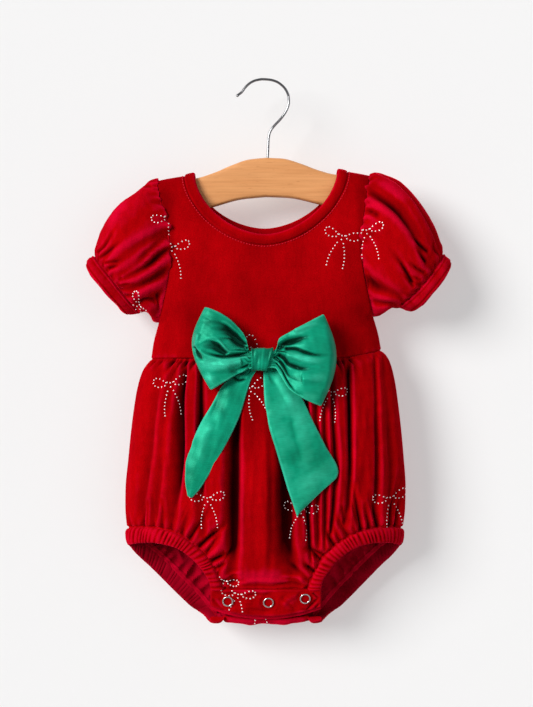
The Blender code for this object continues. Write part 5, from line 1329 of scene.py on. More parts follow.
def leg_casing(hand, cloth):
    """Elastic casing from the front placket, up round the side and down to the back placket."""
    section = section_rows(CASING_SECTION, CASING_ROWS)
    share, face, back = section[:, :1], section[:, 1:2], section[:, 2:3]
    forms, all_normals = [], []
    for side in ("front", "back"):
        seam_at, corner_share = leg_seam(side)
        shares = np.linspace(corner_share, 1, CASING_COLUMNS[side])
        seam = as_run(side, seam_at(shares))
        path, _ = smooth_path(as_run(side, LEG_EDGE[side]))
        edge = path(1 - (shares - corner_share) / (1 - corner_share))
        line = seam + (edge - seam) * share[..., None]
        run = np.minimum(line[..., 1], WAIST - PLACKET_TOP if side == "front" else BACK_RUN)
        form, normals = panel_form(side, line[..., 0], run)
        form[:, -1, 1] = 0.0
        normals[:, -1] = (1.0, 0.0, 0.0)
        if side == "back":
            form, normals = form[:, -2::-1], normals[:, -2::-1]
        forms.append(form)
        all_normals.append(normals)
    form, normals = np.concatenate(forms, axis=1), np.concatenate(all_normals, axis=1)
    along = run_along(form[CASING_ROWS // 2])[None, :]
    seed = SEEDS["leg_casing"] + hand
    lean = 0.22 * ripple(along, 0 * along, 40.0, seed)
    phase = along / RIB_SPACING + 0.45 * ripple(along, 0 * along, 22.0, seed + 5) + lean * share
    valley = 1 - np.abs(np.sin(math.pi * phase)) ** 0.7
    height = 0.8 + 0.4 * ripple(along, share * 8, 9.0, seed + 7)
    across = np.sin(math.pi * np.clip(share, 0, 1))
    ribs = RIB_DEPTH * valley * np.clip(height, 0.15, 1.4) * (0.45 + 0.55 * across)
    wave = 0.35 * ripple(along, 0 * along, 16.0, seed + 9) * share
    walls = [form + normals * out[..., None] for out in (face - ribs + wave, back + 0.6 * ribs + wave)]
    # painted shade in the ribs' valleys
    name, lit = "leg_casing_" + HAND_NAME[hand], 0.94 - ribs * 0.40
    words = dict(rests_on=["velvet_panel_front", "velvet_panel_back"], shape=dict(inside=1, hand=hand))
    return sewn("velvet", name, walls, cloth, lit, (0.31, 0.012), "gathered", **words)


# ================================================================ crotch plackets
def placket_foot(x):
    return PLACKET_FOOT + PLACKET_CURVE * (x / PLACKET_HALF) ** 2


def placket_grid(sunk, columns, rows, foot_drop=0.0):
    x = np.linspace(-PLACKET_HALF, PLACKET_HALF, columns)
    foot = placket_foot(x) - foot_drop
    share = np.linspace(0, 1, rows)[:, None]
    z = PLACKET_TOP * (1 - share) + foot * share
    x = np.broadcast_to(x, z.shape)
    return np.stack([x, -(panel_depth("front", x, z) - sunk), z], axis=-1)


PLACKET_CREASES = creases(
    (2.5, 2.5, 1.6, (-47, -452), (-40, -460), (-33, -466)),
    (2.5, 2.5, 1.4, (-44, -447), (-36, -449), (-22, -447)),
    (2.5, 3, 1, (-20, -451), (-8, -449), (6, -451)), (3, 3, 1, (12, -450), (20, -457), (28, -466)),
    (1.8, 2.2, 2.6, (34, -465), (40, -458), (46, -452)),
    (1.6, 1.8, 2.4, (37, -467), (42, -462), (47, -457)),
    (1.6, 1.8, 2.2, (40, -447), (44, -451), (47, -453)),
    (2.2, 2.2, 1.2, (30, -462), (38, -464), (45, -466)), (3, 3, 0.9, (-14, -462), (0, -464), (16, -462)),
    (5, 5, -0.9, (-12, -456), (-2, -458), (12, -455)), (4, 4, -1.2, (14, -460), (20, -452), (30, -448)),
)


# Painted shade on the placket's pile along these lines, or painted highlight by a negative depth.
PLACKET_LIGHT_AND_SHADE = creases(
    (5, 5, -0.12, (14, -463), (20, -456), (31, -449)),
    (2.6, 2.6, -0.22, (-34, -446), (-12, -445), (12, -446)),
    (3, 3, -0.26, (22, -466), (34, -465), (46, -466)),
    (2.6, 2.6, -0.22, (-45, -452), (-40, -457), (-38, -463)),
    (2.2, 2.2, 0.22, (-44, -467), (-26, -470), (0, -472), (26, -470)),
)


def plackets(cloth):
    form = placket_grid(0.0, 200, 44)
    x, z = form[..., 0], form[..., 2]
    cut = crease_field(x, z, PLACKET_CREASES)
    seed = SEEDS["placket"]
    cut = cut + 0.35 * ripple(x, z, 17.0, seed) + 0.12 * ripple(x, z, 6.0, seed + 1)
    for snap in SNAP_PLACES:
        off = np.hypot(x - snap.x, z - snap.height)
        cut *= ease((off - 4.0) / 4.0)  # flat under the snap, dimpled round it
        cut += 0.5 * bell(off - 6.2, 1.6)
    cut += tuck(z - placket_foot(x), 2.4) + tuck(PLACKET_TOP - z, 1.2)
    cut += tuck(PLACKET_HALF - np.abs(x), 1.6)
    walls = folded(form, grid_normals(form, (0, -1, 0)), cut, PLACKET_WALL)
    # painted shade in the folds, with painted light and shade along the listed lines
    lit = crown_light(cut, 8.0) - crease_field(x, z, PLACKET_LIGHT_AND_SHADE, 0.4, 0.4)
    words = dict(rests_on=["velvet_panel_front"])
    sewn("velvet", "placket_front", walls, cloth, lit, (0.100, 0.028), "stretched", **words)
    back = placket_grid(PLACKET_CLOTH + SNAP_SPACE, 120, 20, 2.5)
    cut = 0.3 * ripple(back[..., 0], back[..., 2], 14.0, seed + 3)
    walls = folded(back, grid_normals(back, (0, -1, 0)), cut, 2.0)
    # painted light: the back placket is painted lighter all over, with painted shade in its folds
    lit = crown_light(cut, 6.0) + 0.2
    words = dict(rests_on=["velvet_panel_back"])
    sewn("velvet", "placket_back", walls, cloth, lit, (0.100, 0.026), "stretched", **words)


# ================================================================ sleeves and cuffs
SLEEVE_COLUMNS, SLEEVE_ROWS = 256, 84
CAP_LENGTH, PUFF_LENGTH, CUFF_LENGTH = 300, 170, 160  # round the sleeve
FOOT_DROP = 4.2  # the cloth hangs below the cuff's lower end by this much
FRILL_REACH = 2.6  # the frill at the armhole stands out most here


def armhole_ring(angles):
    z = ARMHOLE_MIDDLE + ARMHOLE_HALF * np.sin(np.radians(angles))
    x = bodice_half_width(z)
    y = -np.sign(np.cos(np.radians(angles))) * armhole_depth(x, z)
    return np.stack([x, y, z], axis=1)


def cuff_axes(cuff):
    """(long direction up the cuff seam, short direction to the front, the way the cuff opens)."""
    slope, turn = math.radians(cuff.slope), math.radians(cuff.turn)
    long_way = np.array([math.cos(slope), 0, math.sin(slope)])
    level = np.array([math.sin(slope), 0, -math.cos(slope)])
    opening = level * math.cos(turn) + np.array([0, -1, 0]) * math.sin(turn)
    front_way = np.array([0, -1, 0]) * math.cos(turn) - level * math.sin(turn)
    return long_way, front_way, opening


def cuff_ring(cuff, angles, along, out=0.0):
    """Points round the cuff, some way along it and out from its wall."""
    long_way, front_way, opening = cuff_axes(cuff)
    turn = np.radians(angles)[..., None]
    spoke = np.sin(turn) * long_way * cuff.half_length + np.cos(turn) * front_way * CUFF_HALF_DEPTH
    ring = np.array([cuff.x, cuff.y, cuff.z]) + spoke + unit(spoke) * np.asarray(out)[..., None]
    return ring + opening * np.asarray(along)[..., None]


def puff_curve(cuff, start, end, angles, t):
    """Points on the curves that swell out from the armhole and in again at the cuff."""
    turn = np.radians(angles)
    top, foot, front = np.clip(np.sin(turn), 0, 1), np.clip(-np.sin(turn), 0, 1), np.abs(np.cos(turn))
    swell = 0.15 + cuff.crown * top - 0.1 * foot + 0.75 * front**1.5
    radial = np.stack([np.zeros_like(turn), -np.cos(turn), np.sin(turn)], axis=1)
    leave = unit(np.array([1.0, 0, 0]) + radial * swell[:, None])
    outward = unit(end - np.array([cuff.x, cuff.y, cuff.z]))
    arrive = cuff_axes(cuff)[2] * PUFF_ALONG - outward * (PUFF_INWARD * (1 + 0.5 * foot))[:, None]
    run = np.sqrt(np.linalg.norm(end - start, axis=1, keepdims=True) ** 2 + PUFF_LEAST**2)
    point = start * (2 * t**3 - 3 * t**2 + 1) + end * (3 * t**2 - 2 * t**3)
    point = point + leave * run * PUFF_ENTRY * (t**3 - 2 * t**2 + t)
    return point + arrive * run * PUFF_EXIT * (t**3 - t**2)


def along_sleeve(x, z, slope):
    """(how far up the cuff's seam, how far from the armhole towards the cuff) of a place."""
    return x * math.cos(slope) + z * math.sin(slope), x * math.sin(slope) - z * math.cos(slope)


def sleeve_folds(of, x, z, slope):
    """How deep one sleeve's folds cut, laid along the way from the armhole to the cuff."""
    turned = []
    for fold in SLEEVE_FOLDS[of]:
        rows = np.array(fold) * np.array([of, 1.0, 1.0])
        p, q = along_sleeve(rows[:, 0], rows[:, 1], slope)
        turned.append(np.stack([p, q, rows[:, 2]], axis=1))
    heights = fold_heights(*along_sleeve(x, z, slope), turned[::-1])
    tucks = crease_field(x * of, z, SLEEVE_CREASES[of])
    return np.maximum(tucks, sleeve_pleats(of, x, z)) - 0.88 * heights


def sleeve_pleats(of, x, z):
    return crease_field(x * of, z, SLEEVE_PLEATS[of], 0.7, 0.08)


def sleeve(hand, cloth):
    cuff = CUFFS[hand]
    angles = -180 + 360 * np.arange(SLEEVE_COLUMNS) / SLEEVE_COLUMNS
    angles = angles - 9 * np.sin(np.radians(2 * angles + 180))
    start, end = armhole_ring(angles), cuff_ring(cuff, angles, 0.0 * angles)
    v = np.linspace(0, 1, SLEEVE_ROWS)
    form = np.array([puff_curve(cuff, start, end, angles, t) for t in 0.45 * v + 0.55 * ease(v)])
    normals = grid_normals(form, form - form.mean(axis=1, keepdims=True), wrap=True)
    lengths = np.linalg.norm(np.diff(form, axis=0), axis=2)
    from_cap = np.concatenate([np.zeros((1, SLEEVE_COLUMNS)), np.cumsum(lengths, axis=0)])
    from_cuff = from_cap[-1] - from_cap
    around = np.broadcast_to((angles + 180) / 360, from_cap.shape)

    x, z = form[..., 0], form[..., 2]
    front = ease((0.2 - normals[..., 1]) / 0.4)
    slope = math.radians(cuff.slope)
    folds = sleeve_folds(hand, x, z, slope) * front + sleeve_folds(-hand, x, z, slope) * (1 - front)
    folds *= 0.45 + 0.55 * ease(from_cuff / 7)
    folds *= 0.55 + 0.45 * ease(from_cap / 5)
    seed = SEEDS["sleeve"] + 10 * hand
    rise = np.sin(np.radians(angles))
    cap_share, under = ease((rise + 0.75) / 0.7), np.clip(-rise, 0, 1) ** 4
    shares = 0.25 + 0.75 * cap_share, cap_share
    at_cap = twice_gathered(around * CAP_LENGTH, from_cap, CAP_LENGTH, AT_CAP, seed, *shares)
    at_cuff = twice_gathered(around * CUFF_LENGTH, from_cuff, CUFF_LENGTH, AT_CUFF, seed + 2)
    cut = np.cbrt(np.clip(folds, 0, None) ** 3 + at_cap**3 + at_cuff**3) + np.minimum(folds, 0)
    cut += 0.25 * ripple(around * PUFF_LENGTH, from_cap * 0.7, 24.0, seed + 4)
    cut += 0.10 * ripple(around * PUFF_LENGTH, from_cap, 8.0, seed + 5)
    cut -= 1.0 * bell(from_cuff - 6, 4)  # a swell by the cuff
    if hand == LEFT:
        cut += 2.6 * under * bell(from_cuff - 12, 6)  # and a dip beneath
    cut = blurred(cut, 1, wrap=True) * ease(from_cap / 1.5 + 0.2)
    cut += tuck(from_cuff, 1.8)

    tangent = np.roll(start, -1, axis=0) - np.roll(start, 1, axis=0)
    lift_way = unit(np.cross(tangent, np.array([1.0, 0, 0])))
    lift_way = facing(lift_way, start - start.mean(axis=0))
    wave = 0.8 + 1.0 * ripple(around[0] * CAP_LENGTH, 0 * around[0], 9.0, seed + 6)
    wave = np.clip(wave, 0.0, 2.4)
    lap = from_cap / FRILL_REACH * np.exp(1 - from_cap / FRILL_REACH)
    ruffle = lap * (wave * cap_share)[None, :]
    crest = np.clip(rise, 0, 1) ** 6 * bell(from_cap - 7, 7)
    form = form + lift_way[None] * (ruffle * 1.4)[..., None]
    form[..., 2] += 1.8 * crest - FOOT_DROP * under * bell(from_cuff, 6)
    form[..., 0] -= ruffle * 2.6
    form[0] -= lift_way * 0.8
    outer, inner = folded(form, normals, cut, VELVET, wrap=True)
    inner[0] = outer[0] - lift_way * VELVET
    # painted light: the left sleeve painted a little lighter than the right, with painted shade in the
    # folds
    lit = 0.035 - 0.02 * hand + crown_light(cut, 7.0, wrap=True)
    # painted highlight along the frill's rim at the armhole
    lit = lit + 0.22 * bell(from_cap - 1.5, 2.2) * np.clip(wave, 0, 1.3)
    # painted highlights along the listed lines, and painted shade in the pleats
    tones = crease_field(x * hand, z, SLEEVE_HIGHLIGHTS[hand], 0.35, 0.35) * front
    lit = lit - 0.18 * (sleeve_pleats(hand, x, z) * front) - tones
    name, walls, shape = "sleeve_" + HAND_NAME[hand], (outer, inner), dict(wrap=True, inside=1, hand=hand)
    words = dict(rests_on=["velvet_bodice_front", "velvet_bodice_back"], area=0.0165, shape=shape)
    return sewn("velvet", name, walls, cloth, lit, (0.230, 0.092), "gathered", **words)


# along the cuff from its seam: how far each face is off the wall, and how far its ends turn in
CUFF_SECTION = np.array(
    [(-2, -1.6, -3, 0), (0, -0.7, -2.6, 0), (0.6, 0.8, -2.5, 0), (1.5, 1.3, -2.4, 0)]
    + [(2.3, 0.7, -2.4, 0), (3.2, 1.1, -2.4, 0), (5.6, 1.3, -2.4, 0.1), (8, 1.1, -2.5, 0.5)]
    + [(9, 0.3, -2.6, 1), (9.8, 0.9, -2.8, 1.6), (11.2, 0.4, -3.2, 2.8), (12.2, -1.2, -3.6, 4.4)]
)


def cuff_band(hand, cloth):
    cuff = CUFFS[hand]
    section = section_rows(CUFF_SECTION, 22)
    out, face, back, turn_in = (section[:, k : k + 1] for k in range(4))
    angles = np.linspace(-180, 180, 210, endpoint=False)[None, :]
    rise = np.sin(np.radians(angles))
    around = angles * 0.45
    seed = SEEDS["cuff"] + hand
    uneven = 0.35 * ripple(around, out, 15.0, seed) + 0.15 * ripple(around, out * 2, 6.0, seed + 3)
    pleats = gathers(around + 90, out, 162, Gather(5.0, 7, 0.5), seed + 6)
    reach = out + 0.4 * ripple(around, 0 * around, 19.0, seed + 8) * (out / CUFF_WIDTH)
    turned = turn_in * rise**2
    dropped = 0.8 * FOOT_DROP * np.clip(-rise, 0, 1) ** 4 * bell(reach, 4)
    angles = angles + 0 * reach
    outs = face - uneven - pleats - turned + dropped, back - 0.5 * uneven - 0.6 * turned
    walls = [cuff_ring(cuff, angles, reach, out) for out in outs]
    # painted shade in the pleats and grooves, painted highlights on the ridge by the seam and at the
    # outer edge
    lit = 0.86 - 0.3 * pleats - 0.1 * uneven + 0.22 * bell(reach - 1.4, 0.7)
    lit = lit - 0.30 * bell(reach - 9.0, 0.6) - 0.20 * bell(reach - 2.4, 0.5)
    lit = lit + 0.14 * ease((reach - 9.6) / 1.5)
    words = dict(rests_on=["velvet_sleeve_" + HAND_NAME[hand]], shape=dict(wrap=True, hand=hand))
    name = "cuff_" + HAND_NAME[hand]
    return sewn("velvet", name, walls, cloth, lit, (0.155, 0.012), "stretched", **words)


# ================================================================ bow
LOOP_COLUMNS, LOOP_ROWS = 96, 88
TAIL_COLUMNS, TAIL_ROWS = 40, 120
KNOT_SIDES, KNOT_COLUMNS = 96, 44


def bed_point(x, z, lift):
    return np.stack([x, -(bed_depth(z) * side_share(x / BED_HALF_WIDTH) + lift), z], axis=-1)


def loop_grid(rows, hand, across, layer):
    """Sections of a loop's layer, from the knot outwards; across is -1 at its foot, 1 at its top."""
    top_x, top_z, foot_x, foot_z, bulge, back, front = (rows[:, k : k + 1] for k in range(7))
    part = (across[None, :] + 1) / 2
    x = foot_x + (top_x - foot_x) * part + hand * bulge * np.sin(math.pi * part)
    z = foot_z + (top_z - foot_z) * part
    flatter = 1 - 0.42 * across[None, :] ** 2 * np.clip(bulge / 3.0, 0, 1)
    lift = back + 0 * part if layer == "back" else back + (front - back) * flatter
    return bed_point(x, z, lift)


def satin_light(cut, edge):
    """Painted light on the satin: painted shade in the folds, painted highlight on its crowns and along
    its hems.
    """
    around = cut - blurred(cut, 12)
    lit = 0.66 - 0.85 * ease(cut / 5.6) - 0.24 * around + 0.50 * (1 - ease(edge / 1.9))
    return np.clip(lit, 0, 1)


def bow_loop(hand, satin):
    path, _ = smooth_path(LOOPS[hand])
    across = np.linspace(-1, 1, LOOP_COLUMNS)
    out = path(1 - (1 - np.linspace(0, 1, LOOP_ROWS)) ** 1.25)
    count = len(out)
    layers = loop_grid(out, hand, across, "front"), loop_grid(out[-2::-3], hand, across, "back")
    grid = np.concatenate(layers)
    x, z = grid[..., 0], grid[..., 2]
    on_front = np.zeros((len(grid), 1))
    on_front[:count, 0] = 1 - ease((np.arange(count) - count + 12) / 12)
    from_knot = np.clip(hand * (x - KNOT_X) - KNOT_WIDTH / 2 + 1.0, 0, None)
    height = np.linalg.norm(grid[:, :1] - grid[:, -1:], axis=2)
    seed = SEEDS["bow_loop"] + hand
    pleats = gathers((across[None, :] + 1) * 15, from_knot, 30, Gather(5.0, 17, 2.0), seed)
    edge = (1 - np.abs(across))[None, :] * height / 2
    cut = 1.15 * crease_field(x, z, LOOP_CREASES[hand], 0.08, 0.72) * on_front
    cut = np.cbrt(np.clip(cut, 0, None) ** 3 + pleats**3) + np.minimum(cut, 0)
    cut += (0.28 * ripple(x, z, 17.0, seed + 2) + 0.10 * ripple(x, z, 6.0, seed + 3)) * on_front
    cut += tuck(edge, 1.0)
    normals = grid_normals(grid, (0, -1, 0))
    normals[:count] = facing(normals[:count], (0, -1, 0))
    outer = grid - normals * cut[..., None]
    # painted highlight near the hems and towards the knot
    from_fold = np.abs(x - x[:1]) * on_front + 0.3
    lit = satin_light(cut, np.minimum(np.minimum(edge, from_fold), from_knot + 2.0))
    # painted sheen: painted shade and highlight along the listed lines
    tones = 1.4 * crease_field(x, z, LOOP_PAINTED_SHEEN[hand], 0.35, 0.45) * on_front
    name, walls = "bow_loop_" + HAND_NAME[hand], (outer, outer - normals * SATIN)
    words = dict(rests_on=["satin_bow_knot"])
    return sewn("satin", name, walls, [satin], lit - tones, (0.112, 0.070), "folded", **words)


def bow_tail(hand, satin):
    path, length = smooth_path(TAILS[hand])
    edges = path(np.linspace(0, 1, TAIL_ROWS))
    left_x, left_z, right_x, right_z, off_bed = (edges[:, k : k + 1] for k in range(5))
    share = np.linspace(0, 1, TAIL_COLUMNS)[None, :]
    x, z = left_x * (1 - share) + right_x * share, left_z * (1 - share) + right_z * share
    width = np.hypot(left_x - right_x, left_z - right_z)
    down = np.linspace(0, length, TAIL_ROWS)[:, None]
    free = ease(down / 40)
    seed = SEEDS["bow_tail"] + hand
    pleats = gathers(share * 24, np.maximum(down - 12, 0), 24, Gather(5.0, 20, 1.4), seed)
    cut = crease_field(x, z, TAIL_CREASES[hand]) + pleats
    cut += (0.30 * ripple(x, z, 20.0, seed + 2) + 0.08 * ripple(x, z, 7.0, seed + 3)) * free
    edge = np.minimum(np.minimum(share, 1 - share) * width, length - down)
    lift = off_bed + 1.7 * free * np.sin(math.pi * share) ** 0.8 + 1.2
    lift = np.maximum(lift - cut, 1.1) - tuck(edge, 0.8)
    walls = bed_point(x, z, lift), bed_point(x, z, np.maximum(lift - 1.1, 0.05))
    # painted shade in the creases and painted sheen along the listed lines; the right tail painted
    # lighter, the left a little darker, and both darker at their tops by the knot
    lit = satin_light(cut * 1.2, edge) - 1.35 * crease_field(x, z, TAIL_PAINTED_SHEEN[hand], 0.5, 0.5)
    lit = (lit + (0.10 if hand == RIGHT else -0.03)) * (0.55 + 0.45 * ease((down - 12) / 18))
    flat, area = ((0.045, 0.135), 0.0035) if hand == LEFT else ((0.052, 0.145), 0.0052)
    words = dict(rests_on=["satin_bow_knot"], area=area)
    return sewn("satin", "bow_tail_" + HAND_NAME[hand], walls, [satin], lit, flat, "hung", **words)


def squared(wave, power=0.62):
    """A sine or cosine drawn out towards a square one."""
    return np.sign(wave) * np.abs(wave) ** power


def bow_knot(satin):
    """A band wrapped over the gathered middle: a ring round the X axis."""
    angles = np.linspace(0, 2 * math.pi, KNOT_SIDES, endpoint=False)
    round_y, round_z = squared(np.cos(angles)), squared(np.sin(angles))
    share = np.linspace(0, 1, KNOT_COLUMNS)[:, None]
    edge = np.minimum(share, 1 - share) * KNOT_WIDTH
    crown = 1 - 0.07 * np.sin(math.pi * share)
    centre_y = -(KNOT_BACK + KNOT_DEPTH / 2)
    seed = SEEDS["bow_knot"]
    pleats = 0.24 * ripple(share * KNOT_WIDTH, round_z * 2.2, 4.2, seed)
    pleats = pleats + 0.20 * ripple(share * KNOT_WIDTH, round_z * 5, 9.0, seed + 1)
    out = -pleats * ease(edge / 2.5) - tuck(edge, 0.9)
    narrow = 1 - 0.30 * (1 - round_z) / 2
    x = KNOT_X - KNOT_WIDTH / 2 + KNOT_WIDTH * share * narrow + 0.8 * (1 - narrow)
    walls = []
    for shrink in (0.0, SATIN):
        y = centre_y + (KNOT_DEPTH / 2 + out - shrink) * round_y
        z = KNOT_Z + (KNOT_HEIGHT / 2 * crown + out - shrink) * round_z
        walls.append(np.stack([x, y, z], axis=-1))
    # painted shade in the pleats and near the edges, painted highlight right at the edges
    lit = 0.50 - 0.32 * pleats - 0.2 * (1 - ease(edge / 3)) + 0.3 * (1 - ease(edge / 0.9))
    words = dict(rests_on=["velvet_bodice_front"], shape=dict(wrap=True))
    return sewn("satin", "bow_knot", walls, [satin], lit, (0.056, 0.020), "folded", **words)


# ================================================================ hanger
def hanger_hook(steel):
    """A round wire along the hook's line, with a flared tip; it does not tilt."""
    count, sides = 220, 16
    path, _ = smooth_path([(STEM_X, WOOD_TOP[0].height - STEM_DEPTH + 1.0), *HOOK_LINE])
    xs, zs = path(np.linspace(0, 1, count)).T
    line = np.stack([xs - BOWL_X, 0 * xs, zs], axis=1) * MM
    tangent = unit(np.gradient(line, axis=0))
    across = np.array([0.0, 1.0, 0.0])
    up = np.cross(tangent, across)[:, None]
    turn = np.linspace(0, 2 * math.pi, sides, endpoint=False)[None, :, None]
    rings = line[:, None] + WIRE_RADIUS * MM * (np.cos(turn) * across + np.sin(turn) * up)
    tip = rings[-1].mean(axis=0)
    ways = unit(rings[-1] - rings[-2]).mean(axis=0)
    spread = unit(rings[-1] - tip)
    ball = 1.25 * WIRE_RADIUS * MM
    centre = tip + ways * ball * 0.8
    turns = np.radians(np.linspace(35, 172, 9))
    balls = [centre - ways * ball * math.cos(t) + spread * ball * math.sin(t) for t in turns]
    rings = np.concatenate([rings, np.array(balls)])
    faces, _, _ = wall_faces(len(rings), sides)
    faces = np.concatenate([faces, cap((len(rings) - 1) * sides, sides)])
    piece = new_mesh("steel_hook", rings.reshape(-1, 3), faces, [steel], sharp=80.0)
    return finish(piece, "hanger_hook", "metal")


def hanger_wood(wood):
    """A curved bar with rounded edges, lofted through soft rectangular sections."""
    top, foot = edge_table(WOOD_TOP), edge_table(WOOD_FOOT)
    end_length, corner = 9.0, 4.6
    straight = WOOD_END - end_length
    ends = straight + end_length * np.sin(np.radians(np.linspace(6, 88, 14)))
    half = np.concatenate([np.linspace(0, straight, 70), ends])
    x = np.concatenate([-half[:0:-1], half])[:, None]
    past = np.clip((np.abs(x) - straight) / end_length, 0, 1)
    shrink = np.sqrt(np.clip(1 - past**2, 0, 1))
    high, low = top(np.abs(x)), foot(np.abs(x))
    middle, tall = (high + low) / 2, (high - low) / 2
    tall = (tall - end_length) + end_length * shrink
    thick = WOOD_HALF_THICKNESS * (0.45 + 0.55 * shrink)
    turn = np.linspace(0, 2 * math.pi, 56, endpoint=False)[None, :]
    y, round_z = squared(np.cos(turn)) * thick, np.sin(turn)
    z = middle + (tall - corner) * np.clip(round_z * 1.9, -1, 1) + corner * round_z
    grid = np.stack([np.broadcast_to(x, y.shape), y, z], axis=-1)
    rings, sides = grid.shape[:2]
    faces, _, _ = wall_faces(rings, sides)
    faces = np.concatenate([faces, cap(0, sides), cap((rings - 1) * sides, sides)])
    piece = new_mesh("beech_bar", place(grid).reshape(-1, 3), faces, [wood], sharp=50.0)
    return finish(piece, "hanger_wood", "wood")


# ================================================================ snaps, studs and stitches
def lathe(frame_here, profile, sides):
    """Closed ring of revolution: (points, faces) from (radius, height) rows round a frame."""
    here, across, up, out = frame_here
    turn = np.linspace(0, 2 * math.pi, sides, endpoint=False)[None, :, None]
    spokes = np.cos(turn) * across + np.sin(turn) * up
    profile = np.array(profile)
    rings = here + profile[:, None, :1] * spokes + profile[:, None, 1:] * out
    count = len(profile)
    i, j = np.meshgrid(np.arange(count), np.arange(sides), indexing="ij")
    a, b = i * sides + j, i * sides + (j + 1) % sides
    c, d = (i + 1) % count * sides + (j + 1) % sides, (i + 1) % count * sides + j
    return rings.reshape(-1, 3), np.stack([a, b, c, d], axis=-1).reshape(-1, 4)


def placket_frame(snap, sunk):
    def at(x, z):
        return np.array([x, -(float(panel_depth("front", x, z)) - sunk), z])

    here = at(snap.x, snap.height)
    across = unit(at(snap.x + 0.5, snap.height) - at(snap.x - 0.5, snap.height))
    up = unit(at(snap.x, snap.height + 0.5) - at(snap.x, snap.height - 0.5))
    out = unit(np.cross(across, up))
    return here, across, np.cross(out, across), out


def snap_rings(steel):
    middle, half = (RING_OUTER + RING_INNER) / 2, (RING_OUTER - RING_INNER) / 2
    turns = np.linspace(0, 2 * math.pi, 16, endpoint=False)
    high = 0.85 * RING_PROUD
    profile = [(middle + half * math.cos(t), 0.35 + high * math.sin(t) * 0.6) for t in turns]
    for number, snap in enumerate(SNAP_PLACES, start=1):
        points, faces = lathe(placket_frame(snap, -0.3), profile, 56)
        piece = new_mesh(f"steel_snap_ring_{number}", place(points), faces, [steel], sharp=80.0)
        finish(piece, f"snap_ring_{number}", "metal")


STUD_RADIUS = 0.66
STUD_PROFILE = ((1.0, -0.1), (0.88, 0.3), (0.42, 0.52))


def ribbon_motif():
    """Dots of a small tied ribbon: a knot, two teardrop loops and two tails, about 32 mm across."""
    dots = [(0.0, 0.4), (-2.7, 1.2), (2.6, 0.9), (0.2, -3.0)]
    for hand in (LEFT, RIGHT):
        for k in range(10):
            t = (k + 0.8) / 11.2
            reach = (1 - math.cos(2 * math.pi * t)) / 2
            rise = math.sin(2 * math.pi * t) * (0.4 + 0.6 * reach)
            dots.append((hand * (3.0 + 12.6 * reach), 4.9 * rise + 2.6 * reach))
        for k in range(8):
            t = (k + 1) / 8
            dots.append((hand * (1.4 + 4.6 * t + 2.4 * math.sin(2.6 * t)), -3.2 - 24.0 * t))
    return np.array(dots)


# Where the motif is set on the pieces: what is seen from the front, and what from behind.
Spot = namedtuple("Spot", "piece x z turn size")
FRONT_SPOTS = rows_of(Spot,
    ("bodice_front", 66, -140, -14, 1.0), ("bodice_front", -82, -146, 2, 1.0),
    ("bodice_front", -5, -239, -42, 1.15), ("sleeve_left", -84, -119, 20, 0.95),
    ("sleeve_left", -110.5, -195, -66, 0.75), ("sleeve_right", 87, -136, 8, 0.95),
    ("panel_front", -83, -266, 6, 0.95), ("panel_front", -14, -270, 20, 0.95),
    ("panel_front", 56, -275, -8, 0.9), ("panel_front", -50, -364, 4, 0.95),
    ("panel_front", 30, -374, -6, 0.95), ("panel_front", 108, -366, 10, 1.0),
    ("panel_front", -36, -437, -20, 0.8), ("placket_front", -24, -449, -8, 0.95),
    ("panel_back", -6, -462, 6, 0.9),
)
BACK_SPOTS = rows_of(Spot,
    ("bodice_back", -52, -150, 10, 1.0), ("bodice_back", 58, -176, -12, 1.0),
    ("bodice_back", 4, -218, 6, 0.95), ("sleeve_left", -118, -150, 20, 0.95),
    ("sleeve_right", 120, -140, -16, 0.95), ("panel_back", -88, -282, 8, 1.0),
    ("panel_back", -34, -300, -10, 1.0), ("panel_back", 30, -276, 12, 1.0),
    ("panel_back", 90, -306, -6, 1.0), ("panel_back", -62, -366, 14, 1.0),
    ("panel_back", 8, -356, -4, 1.0), ("panel_back", 66, -382, 10, 1.0),
    ("panel_back", -22, -424, -12, 0.95),
)


def first_hit(trees, origin, way):
    """(distance, place, normal, name) of the first cloth met from a point along Y, or None."""
    hits = []
    for name, tree in trees.items():
        hit, normal, _, distance = tree.ray_cast(Vector(origin), Vector((0, way, 0)), 0.6)
        if hit is not None:
            hits.append((distance, np.array(hit), np.array(normal), name))
    return min(hits, key=lambda found: found[0], default=None)


def studs(steel):
    """Small metal studs set on the velvet, wherever the motif meets its own piece first."""
    graph = bpy.context.evaluated_depsgraph_get()
    trees = {}
    for piece in bpy.context.scene.objects:
        if piece.type == "MESH" and piece.name.startswith(("velvet_", "satin_")):
            trees[piece.name] = BVHTree.FromObject(piece, graph)
    motif = ribbon_motif()
    (right, ahead, high), base_faces = stud_form()
    points, faces = [], []
    spots = [(1.0, spot) for spot in FRONT_SPOTS] + [(-1.0, spot) for spot in BACK_SPOTS]
    for way, spot in spots:
        turn = math.radians(spot.turn)
        for dot_x, dot_z in motif * spot.size:
            x = spot.x + dot_x * math.cos(turn) - dot_z * math.sin(turn)
            z = spot.z + dot_x * math.sin(turn) + dot_z * math.cos(turn)
            origin = place(np.array([x, 0.0, z]))
            origin[1] = -0.3 * way
            found = first_hit(trees, origin, way)
            if found is None or found[3] != "velvet_" + spot.piece:
                continue
            _, here, normal, _ = found
            if normal[1] * way > 0:
                normal = -normal
            if abs(normal[1]) < 0.3:
                continue
            across = unit(np.cross(normal, np.array([0.0, 0.0, 1.0])))
            up = np.cross(normal, across)
            faces.append(base_faces + len(points) * len(right))
            points.append(here + (right * across + ahead * up + high * normal) * MM)
    piece = new_mesh("steel_studs", np.concatenate(points), np.concatenate(faces), [steel], sharp=28.0)
    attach(piece, "root")
    return piece


